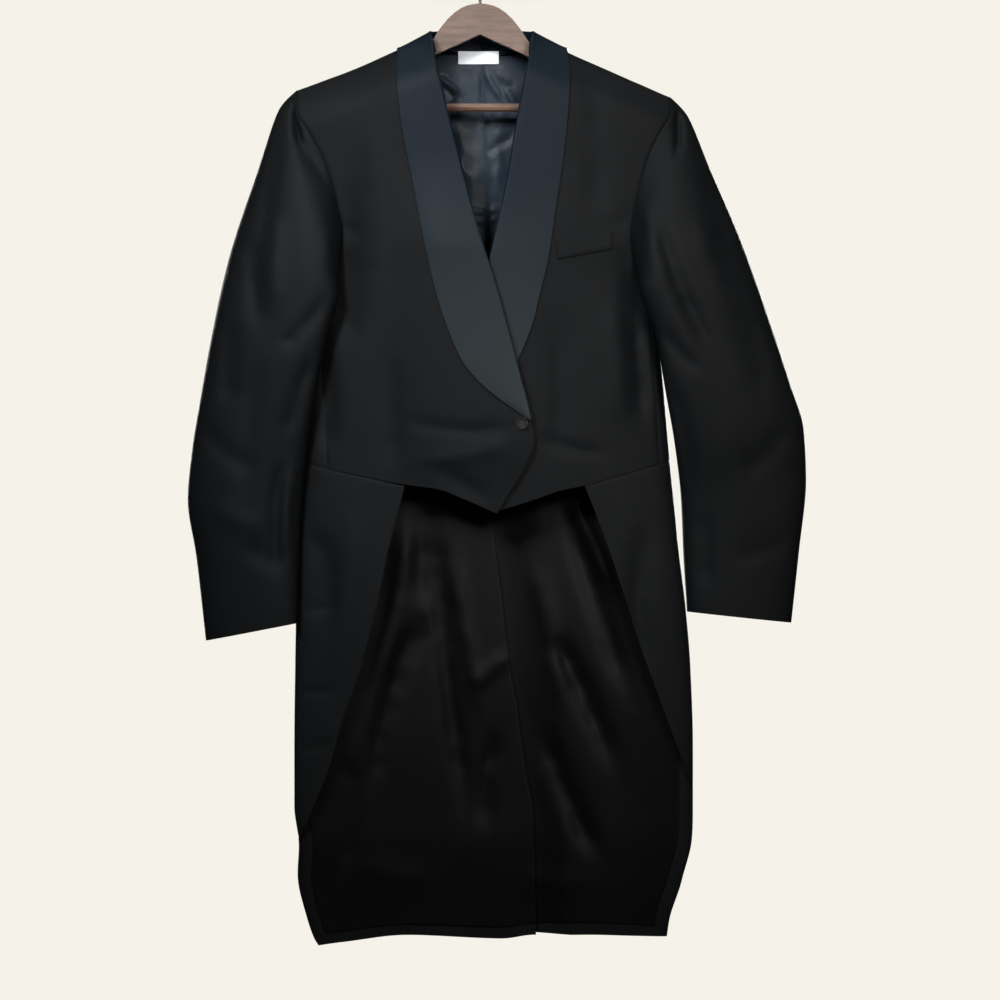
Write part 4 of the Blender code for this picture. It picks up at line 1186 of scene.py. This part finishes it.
def add(tree, kind, links=None, **values):
    """A node with its settings and input values, and links into its inputs by name or number."""
    made = tree.nodes.new(kind)
    for key, value in values.items():
        socket = made.inputs.get(key.replace("_", " ").title())
        if socket:
            socket.default_value = value
        else:
            setattr(made, key, value)
    for key, source in (links or {}).items():
        tree.links.new(source, made.inputs[key])
    return made


def sums(tree, operation, a, b=None, c=None):
    """A Math node; each term is a number or an output."""
    made = tree.nodes.new("ShaderNodeMath")
    made.operation = operation
    for i, term in enumerate((a, b, c)):
        if term is None:
            continue
        if isinstance(term, (int, float)):
            made.inputs[i].default_value = term
        else:
            tree.links.new(term, made.inputs[i])
    return made.outputs[0]


def blend(tree, factor, a, b):
    """A colour mix; factor is an output, and a and b are colours or outputs."""
    made = tree.nodes.new("ShaderNodeMix")
    made.data_type = "RGBA"
    tree.links.new(factor, made.inputs[0])
    for i, term in ((MIX_FIRST, a), (MIX_SECOND, b)):
        if isinstance(term, tuple):
            made.inputs[i].default_value = (*term, 1)
        else:
            tree.links.new(term, made.inputs[i])
    return made.outputs[MIX_RESULT]


def new_group(name, inputs, outputs):
    """An empty node group with float inputs, given with their values, and float outputs."""
    tree = bpy.data.node_groups.new(name, "ShaderNodeTree")
    for label_text, kind, value in inputs:
        socket = tree.interface.new_socket(label_text, in_out="INPUT", socket_type=kind)
        if value is not None:
            socket.default_value = value
    for label_text in outputs:
        tree.interface.new_socket(label_text, in_out="OUTPUT", socket_type="NodeSocketFloat")
    return tree, tree.nodes.new("NodeGroupInput"), tree.nodes.new("NodeGroupOutput")


def weighed(tree, one, one_share, other, other_share):
    """Two values added, each times its share."""
    return sums(tree, "MULTIPLY_ADD", one, one_share, sums(tree, "MULTIPLY", other, other_share))


def bumped(tree, shader, height, strength, distance):
    """Raises the surface by a height, through the shader's normal."""
    bump = add(tree, "ShaderNodeBump", {"Height": height}, strength=strength, distance=distance)
    tree.links.new(bump.outputs[0], shader.inputs["Normal"])


def weave_group():
    """Woven threads over a piece's own map: their height, and which threads are a little lighter."""
    tree, came, gone = new_group("Woven threads", (("Map", "NodeSocketVector", None),
                                                   ("Pitch", "NodeSocketFloat", 0.001),
                                                   ("Twill", "NodeSocketFloat", 1.0)),
                                 ("Height", "Fleck"))
    split = add(tree, "ShaderNodeSeparateXYZ", {0: came.outputs["Map"]})
    across = sums(tree, "DIVIDE", split.outputs[0], came.outputs["Pitch"])
    up = sums(tree, "DIVIDE", split.outputs[1], came.outputs["Pitch"])
    wander = add(tree, "ShaderNodeTexNoise", {"Vector": came.outputs["Map"]}, scale=160.0, detail=1.0)
    slant = sums(tree, "ADD", across, sums(tree, "ADD", up, sums(tree, "MULTIPLY", wander.outputs[0], 0.6)))
    twill = sums(tree, "SINE", sums(tree, "MULTIPLY", slant, math.tau))
    plain = sums(tree, "MULTIPLY", sums(tree, "SINE", sums(tree, "MULTIPLY", across, math.tau)),
                 sums(tree, "SINE", sums(tree, "MULTIPLY", up, math.tau)))
    raised = sums(tree, "ADD", sums(tree, "MULTIPLY", twill, came.outputs["Twill"]),
                  sums(tree, "MULTIPLY", plain, sums(tree, "SUBTRACT", 1.0, came.outputs["Twill"])))
    tree.links.new(sums(tree, "MULTIPLY_ADD", raised, 0.5, 0.5), gone.inputs["Height"])
    thread = add(tree, "ShaderNodeCombineXYZ", {0: sums(tree, "MULTIPLY", across, 0.9),
                                                1: sums(tree, "MULTIPLY", up, 0.06)})
    warp = add(tree, "ShaderNodeTexNoise", {"Vector": thread.outputs[0]}, scale=1.0, detail=2.0)
    cross = add(tree, "ShaderNodeCombineXYZ", {0: sums(tree, "MULTIPLY", across, 0.05),
                                               1: sums(tree, "MULTIPLY", up, 0.9)})
    weft = add(tree, "ShaderNodeTexNoise", {"Vector": cross.outputs[0]}, scale=1.0, detail=2.0)
    tree.links.new(weighed(tree, warp.outputs[0], 0.5, weft.outputs[0], 0.5), gone.inputs["Fleck"])
    return tree


def mottle_group():
    """Slow changes of shade over a surface, with a finer one on top."""
    tree, came, gone = new_group("Mottle", (("Place", "NodeSocketVector", None),
                                            ("Patches per metre", "NodeSocketFloat", 9.0)), ("Shade",))
    slow = add(tree, "ShaderNodeTexNoise", {"Vector": came.outputs["Place"],
                                            "Scale": came.outputs["Patches per metre"]}, detail=2.0)
    quick = add(tree, "ShaderNodeTexNoise", {"Vector": came.outputs["Place"]}, scale=240.0, detail=3.0)
    tree.links.new(weighed(tree, slow.outputs[0], 0.7, quick.outputs[0], 0.3), gone.inputs["Shade"])
    return tree


def grouped(tree, name, links=None, **values):
    """A node group placed in a material, made the first time it is asked for."""
    made = tree.nodes.new("ShaderNodeGroup")
    made.node_tree = bpy.data.node_groups.get(name) or GROUPS[name]()
    for key, value in values.items():
        made.inputs[key.replace("_", " ").capitalize()].default_value = value
    for key, source in (links or {}).items():
        tree.links.new(source, made.inputs[key])
    return made


GROUPS = {"Woven threads": weave_group, "Mottle": mottle_group}


def cloth_patterns(tree, pitch, twill, patches):
    """The place on the piece, its threads at a pitch in metres, and its slow changes of shade."""
    own_map = add(tree, "ShaderNodeUVMap", uv_map="UVMap")
    place = add(tree, "ShaderNodeTexCoord").outputs["Object"]
    weave = grouped(tree, "Woven threads", {"Map": own_map.outputs[0]}, pitch=pitch, twill=twill)
    shade = grouped(tree, "Mottle", {"Place": place}, patches_per_metre=patches)
    return place, weave, shade


def fresh(name, **values):
    """A new material with its shader's own sockets set."""
    made = bpy.data.materials.new(name)
    made.use_nodes = True
    shader = made.node_tree.nodes["Principled BSDF"]
    for key, value in values.items():
        shader.inputs[key.replace("_", " ").title()].default_value = value
    return made, made.node_tree, shader


def scaled(colour, by):
    return tuple(min(1.0, c * by) for c in colour)


# ---------------------------------------------------------------- finishes
def wool(colours):
    """Black worsted: a fine twill, flecked, almost without shine."""
    made, tree, shader = fresh("Black worsted wool")
    shader.inputs["Specular IOR Level"].default_value = 0.08
    _, weave, shade = cloth_patterns(tree, 0.0011, 0.8, 7.0)
    base = tuple(colours.wool)
    flecked = blend(tree, sums(tree, "MULTIPLY_ADD", weave.outputs["Fleck"], 2.4, -0.7), scaled(base, 0.62),
                    scaled(base, 1.5))
    lit = blend(tree, shade.outputs["Shade"], scaled(base, 0.7), scaled(base, 1.25))
    both = blend(tree, sums(tree, "MULTIPLY", weave.outputs["Height"], 0.75), flecked, lit)
    tree.links.new(both, shader.inputs["Base Color"])
    tree.links.new(sums(tree, "MULTIPLY_ADD", shade.outputs["Shade"], 0.16, 0.54), shader.inputs["Roughness"])
    bumped(tree, shader, weave.outputs["Height"], 0.35, 0.00025)
    return made


def satin(colours):
    """The collar's silk: blue-black, with fine ribs across it, a soft broad shine, and a painted sheen that
    makes it lighter and greyer lower down.
    """
    made, tree, shader = fresh("Silk satin")
    shader.inputs["Specular IOR Level"].default_value = 0.07
    own_map = add(tree, "ShaderNodeUVMap", uv_map="UVMap")
    place = add(tree, "ShaderNodeTexCoord")
    split = add(tree, "ShaderNodeSeparateXYZ", {0: place.outputs["Object"]})
    stretch = add(tree, "ShaderNodeMapping", {"Vector": own_map.outputs[0]})
    stretch.inputs["Scale"].default_value = (60, 1700, 1)
    ribs = add(tree, "ShaderNodeTexNoise", {"Vector": stretch.outputs[0]}, scale=1.0, detail=2.0)
    weave = grouped(tree, "Woven threads", {"Map": own_map.outputs[0]}, pitch=0.0007, twill=0.0)
    shade = grouped(tree, "Mottle", {"Place": place.outputs["Object"]}, patches_per_metre=14.0)
    base = tuple(colours.satin)
    # Painted sheen: lower down the silk is painted lighter and greyer, standing in for the light it catches
    # there.
    low = sums(tree, "MULTIPLY_ADD", split.outputs[2], *SATIN_PAINTED_SHEEN_BY_HEIGHT)
    low = add(tree, "ShaderNodeClamp", {0: low}).outputs[0]
    painted_sheen_colour = tuple(colours.satin_painted_sheen)
    tone = blend(tree, low, base, painted_sheen_colour)
    ribbed = blend(tree, ribs.outputs[0], scaled(base, 0.35), scaled(base, 1.5))
    mixed = tree.nodes.new("ShaderNodeMix")
    mixed.data_type = "RGBA"
    mixed.inputs[0].default_value = 0.45
    tree.links.new(tone, mixed.inputs[MIX_FIRST])
    tree.links.new(ribbed, mixed.inputs[MIX_SECOND])
    tree.links.new(mixed.outputs[MIX_RESULT], shader.inputs["Base Color"])
    uneven = sums(tree, "MULTIPLY_ADD", shade.outputs[0], 0.12, 0.36)
    rough = sums(tree, "MULTIPLY_ADD", ribs.outputs[0], 0.22, uneven)
    tree.links.new(rough, shader.inputs["Roughness"])
    height = sums(tree, "MULTIPLY_ADD", weave.outputs["Height"], 0.35, ribs.outputs[0])
    bumped(tree, shader, height, 0.3, 0.00022)
    return made


def thin_satin(name, colour, gloss, shine, crumple):
    """Lining: thin satin with threads up and down it and small crumples."""
    made, tree, shader = fresh(name)
    shader.inputs["Specular IOR Level"].default_value = gloss
    place, weave, shade = cloth_patterns(tree, 0.0008, 0.3, 26.0)
    creased = add(tree, "ShaderNodeTexNoise", {"Vector": place}, scale=95.0, detail=3.0, distortion=0.8)
    tone = blend(tree, sums(tree, "MULTIPLY_ADD", shade.outputs["Shade"], 1.6, -0.3), scaled(colour, 0.5),
                 scaled(colour, 1.45))
    tree.links.new(tone, shader.inputs["Base Color"])
    rough = sums(tree, "MULTIPLY_ADD", weave.outputs["Fleck"], 0.25, shine)
    tree.links.new(rough, shader.inputs["Roughness"])
    fine = add(tree, "ShaderNodeBump", {"Height": weave.outputs["Height"]}, strength=0.2, distance=0.0002)
    bump = add(tree, "ShaderNodeBump", {"Height": creased.outputs[0], "Normal": fine.outputs[0]},
               strength=crumple, distance=0.004)
    tree.links.new(bump.outputs[0], shader.inputs["Normal"])
    return made


def ribbon(colours):
    """The bare label: woven white ribbon, a little soiled."""
    made, tree, shader = fresh("White ribbon")
    shader.inputs["Specular IOR Level"].default_value = 0.3
    _, weave, shade = cloth_patterns(tree, 0.0009, 0.0, 60.0)
    base = tuple(colours.label)
    tone = blend(tree, shade.outputs["Shade"], scaled(base, 0.82), scaled(base, 1.05))
    threaded = blend(tree, sums(tree, "MULTIPLY", weave.outputs["Height"], 0.25), tone, scaled(base, 0.7))
    tree.links.new(threaded, shader.inputs["Base Color"])
    tree.links.new(sums(tree, "MULTIPLY_ADD", weave.outputs["Fleck"], 0.2, 0.6), shader.inputs["Roughness"])
    bumped(tree, shader, weave.outputs["Height"], 0.4, 0.0002)
    return made


def thread(name, colour, rough):
    """Sewing thread: its twist runs round it in small ridges."""
    made, tree, shader = fresh(name)
    shader.inputs["Specular IOR Level"].default_value = 0.15
    place = add(tree, "ShaderNodeTexCoord")
    twist = add(tree, "ShaderNodeTexWave", {"Vector": place.outputs["Object"]}, bands_direction="DIAGONAL",
                scale=900.0, distortion=1.0)
    tree.links.new(blend(tree, twist.outputs[1], scaled(colour, 0.7), scaled(colour, 1.3)),
                   shader.inputs["Base Color"])
    tree.links.new(sums(tree, "MULTIPLY_ADD", twist.outputs[1], 0.15, rough), shader.inputs["Roughness"])
    bumped(tree, shader, twist.outputs[1], 0.4, 0.0001)
    return made


def varnished_wood(colours):
    """Brown varnished beech: grain along the arms and darker pores."""
    made, tree, shader = fresh("Varnished wood", coat_weight=0.06, coat_roughness=0.22)
    place = add(tree, "ShaderNodeTexCoord")
    stretch = add(tree, "ShaderNodeMapping", {"Vector": place.outputs["Object"]})
    stretch.inputs["Scale"].default_value = (14, 90, 150)
    stretch.inputs["Rotation"].default_value = (0, 0.12, 0)
    grain = add(tree, "ShaderNodeTexNoise", {"Vector": stretch.outputs[0]}, scale=1.0, detail=5.0,
                roughness=0.62, distortion=0.4)
    pores = add(tree, "ShaderNodeMapping", {"Vector": place.outputs["Object"]})
    pores.inputs["Scale"].default_value = (90, 700, 900)
    flecks = add(tree, "ShaderNodeTexNoise", {"Vector": pores.outputs[0]}, scale=1.0, detail=2.0)
    base = tuple(colours.wood)
    streaks = sums(tree, "MULTIPLY_ADD", grain.outputs[0], 2.2, -0.6)
    tone = blend(tree, streaks, scaled(base, 0.55), scaled(base, 1.35))
    dark = add(tree, "ShaderNodeClamp", {0: sums(tree, "MULTIPLY_ADD", flecks.outputs[0], 7.0, -4.1)})
    pored = blend(tree, sums(tree, "MULTIPLY", dark.outputs[0], 0.6), tone, scaled(base, 0.3))
    tree.links.new(pored, shader.inputs["Base Color"])
    tree.links.new(sums(tree, "MULTIPLY_ADD", grain.outputs[0], 0.2, 0.3), shader.inputs["Roughness"])
    bumped(tree, shader, grain.outputs[0], 0.2, 0.0003)
    return made


def drawn_steel(colours):
    """Bent steel wire with fine scratches along it and dull spots."""
    made, tree, shader = fresh("Drawn steel wire", metallic=1.0)
    place = add(tree, "ShaderNodeTexCoord")
    spots = add(tree, "ShaderNodeTexNoise", {"Vector": place.outputs["Object"]}, scale=300.0, detail=4.0)
    scratches = add(tree, "ShaderNodeTexNoise", {"Vector": place.outputs["Object"]}, scale=1500.0, detail=1.0)
    base = tuple(colours.steel)
    spotted = blend(tree, spots.outputs[0], scaled(base, 0.7), scaled(base, 1.25))
    tree.links.new(spotted, shader.inputs["Base Color"])
    rough = weighed(tree, scratches.outputs[0], 0.2, spots.outputs[0], 0.3)
    tree.links.new(rough, shader.inputs["Roughness"])
    bumped(tree, shader, scratches.outputs[0], 0.1, 0.0001)
    return made


def moulded_button(colours):
    """Dark horn-like button: cloudy and polished."""
    made, tree, shader = fresh("Button")
    shader.inputs["Specular IOR Level"].default_value = 0.25
    place = add(tree, "ShaderNodeTexCoord")
    cloud = add(tree, "ShaderNodeTexNoise", {"Vector": place.outputs["Object"]}, scale=350.0, detail=3.0,
                distortion=1.5)
    base = tuple(colours.button)
    clouded = blend(tree, cloud.outputs[0], scaled(base, 0.5), scaled(base, 2.2))
    tree.links.new(clouded, shader.inputs["Base Color"])
    tree.links.new(sums(tree, "MULTIPLY_ADD", cloud.outputs[0], 0.25, 0.22), shader.inputs["Roughness"])
    return made


# ---------------------------------------------------------------- settings
def length_value(name, description, default):
    return FloatProperty(name=name, description=description, default=default, min=0.0001, unit="LENGTH")


def colour_value(name, description, default):
    return FloatVectorProperty(name=name, description=description, default=default, subtype="COLOR", size=3,
                               min=0, max=1)


class TailcoatSizes(bpy.types.PropertyGroup):
    """The sizes a user would change."""
    wool: length_value("Wool", "Thickness of the fused wool", WOOL * MM)
    satin: length_value("Satin", "Thickness of the collar's facing", SATIN * MM)
    lining: length_value("Lining", "Thickness of the linings", LINING * MM)
    welt: length_value("Welt", "Thickness of the breast pocket's welt", WELT_THICK * MM)
    crease: FloatProperty(name="Crease depth", description="Every crease's depth is multiplied by this",
                          default=1.0, min=0, max=2, subtype="FACTOR")


class TailcoatColours(bpy.types.PropertyGroup):
    """The colours a user would change."""
    wool: colour_value("Wool", "The coat's worsted", (0.0031, 0.0035, 0.0039))
    satin: colour_value("Satin", "The collar's silk", (0.0037, 0.0072, 0.0113))
    # Painted sheen: the lighter grey that the satin is painted towards lower down on the lapels.
    satin_painted_sheen: colour_value("Satin painted sheen", "The silk near the lapels' points", (0.0320, 0.0365, 0.0350))
    lining: colour_value("Back lining", "The blue-grey lining of the back", (0.0135, 0.0202, 0.0290))
    tail_lining: colour_value("Tail lining", "The black lining of the tails", (0.0002, 0.0002, 0.0002))
    label: colour_value("Label", "The bare label's ribbon", (0.80, 0.83, 0.87))
    button: colour_value("Button", "The button's dark cloudy body", (0.0050, 0.0045, 0.0045))
    wood: colour_value("Hanger", "The hanger's varnished wood", (0.108, 0.057, 0.035))
    steel: colour_value("Hook", "The hook's wire", (0.42, 0.42, 0.43))
    wall: colour_value("Backdrop", "What is behind the coat", (0.913, 0.888, 0.814))
    floor: colour_value("Floor", "The plain floor", (0.80, 0.78, 0.73))


class TailcoatPiece:
    """What the piece operators share."""
    bl_options = {"REGISTER", "UNDO"}

    @staticmethod
    def settings():
        scene = bpy.context.scene
        return scene.tailcoat_sizes, scene.tailcoat_colours

    @staticmethod
    def finish_of(name, make, *values):
        """A finish that several operators use, made once."""
        return bpy.data.materials.get(name) or make(*values)


class TAILCOAT_OT_body(TailcoatPiece, bpy.types.Operator):
    """Make the wool panels of the body, with the waist cut away and the two tails"""
    bl_idname = "tailcoat.body"
    bl_label = "Body"

    def execute(self, context):
        sizes, colours = self.settings()
        finish = self.finish_of("Black worsted wool", wool, colours)
        for side in (RIGHT, LEFT):
            for make in (forepart, sidebody, back, skirt):
                make(side, sizes, finish)
        return {"FINISHED"}


class TAILCOAT_OT_sleeves(TailcoatPiece, bpy.types.Operator):
    """Make the topsleeves and undersleeves"""
    bl_idname = "tailcoat.sleeves"
    bl_label = "Sleeves"

    def execute(self, context):
        sizes, colours = self.settings()
        finish = self.finish_of("Black worsted wool", wool, colours)
        for side in (RIGHT, LEFT):
            sleeve(side, sizes, finish)
        return {"FINISHED"}


class TAILCOAT_OT_collar(TailcoatPiece, bpy.types.Operator):
    """Make the satin shawl collar, rolled over at its fold"""
    bl_idname = "tailcoat.collar"
    bl_label = "Shawl collar"

    def execute(self, context):
        sizes, colours = self.settings()
        finish = self.finish_of("Silk satin", satin, colours)
        for side in (RIGHT, LEFT):
            collar(side, sizes, finish)
        return {"FINISHED"}


class TAILCOAT_OT_linings(TailcoatPiece, bpy.types.Operator):
    """Make the linings of the back and of the tails"""
    bl_idname = "tailcoat.linings"
    bl_label = "Linings"

    def execute(self, context):
        sizes, colours = self.settings()
        above = thin_satin("Back lining", tuple(colours.lining), 0.12, 0.30, 0.12)
        below = thin_satin("Tail lining", tuple(colours.tail_lining), 0.08, 0.35, 0.04)
        for side in (RIGHT, LEFT):
            back_lining(side, sizes, above)
            tail_lining(side, sizes, below)
        return {"FINISHED"}


class TAILCOAT_OT_trimmings(TailcoatPiece, bpy.types.Operator):
    """Make the label, the breast pocket's welt, the button's finish and all the stitches"""
    bl_idname = "tailcoat.trimmings"
    bl_label = "Trimmings"

    def execute(self, context):
        sizes, colours = self.settings()
        dark = thread("Black thread", (0.004, 0.004, 0.0045), 0.6)
        label(sizes, ribbon(colours))
        breast_welt(sizes, self.finish_of("Black worsted wool", wool, colours))
        label_threads(thread("White thread", (0.62, 0.64, 0.66), 0.6))
        welt_threads(dark)
        buttonhole(dark)
        vent_tack(dark)
        loose_thread(dark)
        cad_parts["button"].material_slots[0].material = moulded_button(colours)
        return {"FINISHED"}


class TAILCOAT_OT_hanger(TailcoatPiece, bpy.types.Operator):
    """Give the hanger its varnished wood and its steel wire"""
    bl_idname = "tailcoat.hanger"
    bl_label = "Hanger"

    def execute(self, context):
        _, colours = self.settings()
        timber = varnished_wood(colours)
        for name in ("hanger_body", "hanger_bar"):
            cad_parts[name].material_slots[0].material = timber
        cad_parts["hanger_hook"].material_slots[0].material = drawn_steel(colours)
        return {"FINISHED"}


def lamp(name, place, aim, size, power, spread, colour):
    """A soft square lamp turned towards a place."""
    data = bpy.data.lights.new(name, "AREA")
    data.size = size
    data.spread = math.radians(spread)
    data.energy = power
    data.color = colour
    made = bpy.data.objects.new(name, data)
    made.location = place
    made.rotation_mode = "QUATERNION"
    made.rotation_quaternion = (Vector(aim) - Vector(place)).to_track_quat("-Z", "Y")
    bpy.context.scene.collection.objects.link(made)


def plain_world(colours):
    """A pale backdrop for the eye, and a weaker even light for the coat."""
    world = bpy.data.worlds.new("Pale room")
    world.use_nodes = True
    tree = world.node_tree
    tree.nodes.clear()
    seen = add(tree, "ShaderNodeBackground", color=(*colours.wall, 1), strength=1.0)
    cast = add(tree, "ShaderNodeBackground", color=(0.86, 0.92, 1.0, 1), strength=AMBIENT)
    rays = add(tree, "ShaderNodeLightPath")
    joined = add(tree, "ShaderNodeMixShader", {0: rays.outputs["Is Camera Ray"], 1: cast.outputs[0],
                                               2: seen.outputs[0]})
    add(tree, "ShaderNodeOutputWorld", {0: joined.outputs[0]})
    bpy.context.scene.world = world


class TAILCOAT_OT_stage(TailcoatPiece, bpy.types.Operator):
    """Make the plain floor, the backdrop, the soft lamps and the camera"""
    bl_idname = "tailcoat.stage"
    bl_label = "Stage"

    def execute(self, context):
        _, colours = self.settings()
        work = bmesh.new()
        bmesh.ops.create_grid(work, x_segments=8, y_segments=8, size=FLOOR_HALF)
        bmesh.ops.translate(work, verts=work.verts, vec=(0, 0, FLOOR_HEIGHT))
        mesh = bpy.data.meshes.new("floor")
        work.to_mesh(mesh)
        work.free()
        floor = bpy.data.objects.new("floor", mesh)
        context.scene.collection.objects.link(floor)
        paint, tree, shader = fresh("Floor paint", roughness=0.8)
        place = add(tree, "ShaderNodeTexCoord")
        shade = grouped(tree, "Mottle", {"Place": place.outputs["Object"]}, patches_per_metre=2.0)
        plain = tuple(colours.floor)
        tree.links.new(blend(tree, shade.outputs[0], scaled(plain, 0.97), scaled(plain, 1.03)),
                       shader.inputs["Base Color"])
        seen = add(tree, "ShaderNodeLightPath")
        glow = blend(tree, seen.outputs["Is Camera Ray"], (0.0, 0.0, 0.0), scaled(plain, FLOOR_GLOW))
        tree.links.new(glow, shader.inputs["Emission Color"])
        shader.inputs["Emission Strength"].default_value = 1.0
        mesh.materials.append(paint)
        plain_world(colours)
        lamp("key", KEY_PLACE, KEY_AIM, KEY_WIDTH, KEY_POWER, KEY_SPREAD, COOL_LIGHT)
        lamp("fill", FILL_PLACE, FILL_AIM, FILL_WIDTH, FILL_POWER, FILL_SPREAD, WARM_LIGHT)
        lamp("top", TOP_PLACE, TOP_AIM, TOP_WIDTH, TOP_POWER, TOP_SPREAD, WHITE_LIGHT)
        lamp("behind", BEHIND_PLACE, BEHIND_AIM, BEHIND_WIDTH, BEHIND_POWER, BEHIND_SPREAD, COOL_LIGHT)
        lamp("behind_fill", BEHIND_FILL_PLACE, BEHIND_AIM, FILL_WIDTH, BEHIND_FILL_POWER, BEHIND_SPREAD,
             WARM_LIGHT)
        data = bpy.data.cameras.new("camera")
        data.lens = data.sensor_width * CAMERA_AWAY / SEEN_WIDTH
        camera = bpy.data.objects.new("camera", data)
        camera.location = (SEEN_MIDDLE[0], -CAMERA_AWAY, SEEN_MIDDLE[1])
        camera.rotation_euler = (math.radians(90), 0, 0)
        context.scene.collection.objects.link(camera)
        context.scene.camera = camera
        context.scene.view_settings.view_transform = "Standard"
        return {"FINISHED"}


OPERATORS = (TAILCOAT_OT_body, TAILCOAT_OT_sleeves, TAILCOAT_OT_collar, TAILCOAT_OT_linings,
             TAILCOAT_OT_trimmings, TAILCOAT_OT_hanger, TAILCOAT_OT_stage)


class TAILCOAT_PT_panel(bpy.types.Panel):
    """The coat's pieces and settings, in the sidebar"""
    bl_idname = "TAILCOAT_PT_panel"
    bl_label = "Tailcoat"
    bl_space_type = "VIEW_3D"
    bl_region_type = "UI"
    bl_category = "Tailcoat"

    def draw(self, context):
        for operator in OPERATORS:
            self.layout.operator(operator.bl_idname)
        for group in (context.scene.tailcoat_sizes, context.scene.tailcoat_colours):
            for name in group.__annotations__:
                self.layout.prop(group, name)


CLASSES = (TailcoatSizes, TailcoatColours, *OPERATORS, TAILCOAT_PT_panel)


def register():
    for one in CLASSES:
        bpy.utils.register_class(one)
    bpy.types.Scene.tailcoat_sizes = PointerProperty(type=TailcoatSizes)
    bpy.types.Scene.tailcoat_colours = PointerProperty(type=TailcoatColours)


def unregister():
    del bpy.types.Scene.tailcoat_colours
    del bpy.types.Scene.tailcoat_sizes
    for one in reversed(CLASSES):
        bpy.utils.unregister_class(one)


def main():
    register()
    for operator in OPERATORS:
        group, name = operator.bl_idname.split(".")
        getattr(getattr(bpy.ops, group), name)()


if __name__ == "__main__":
    main()
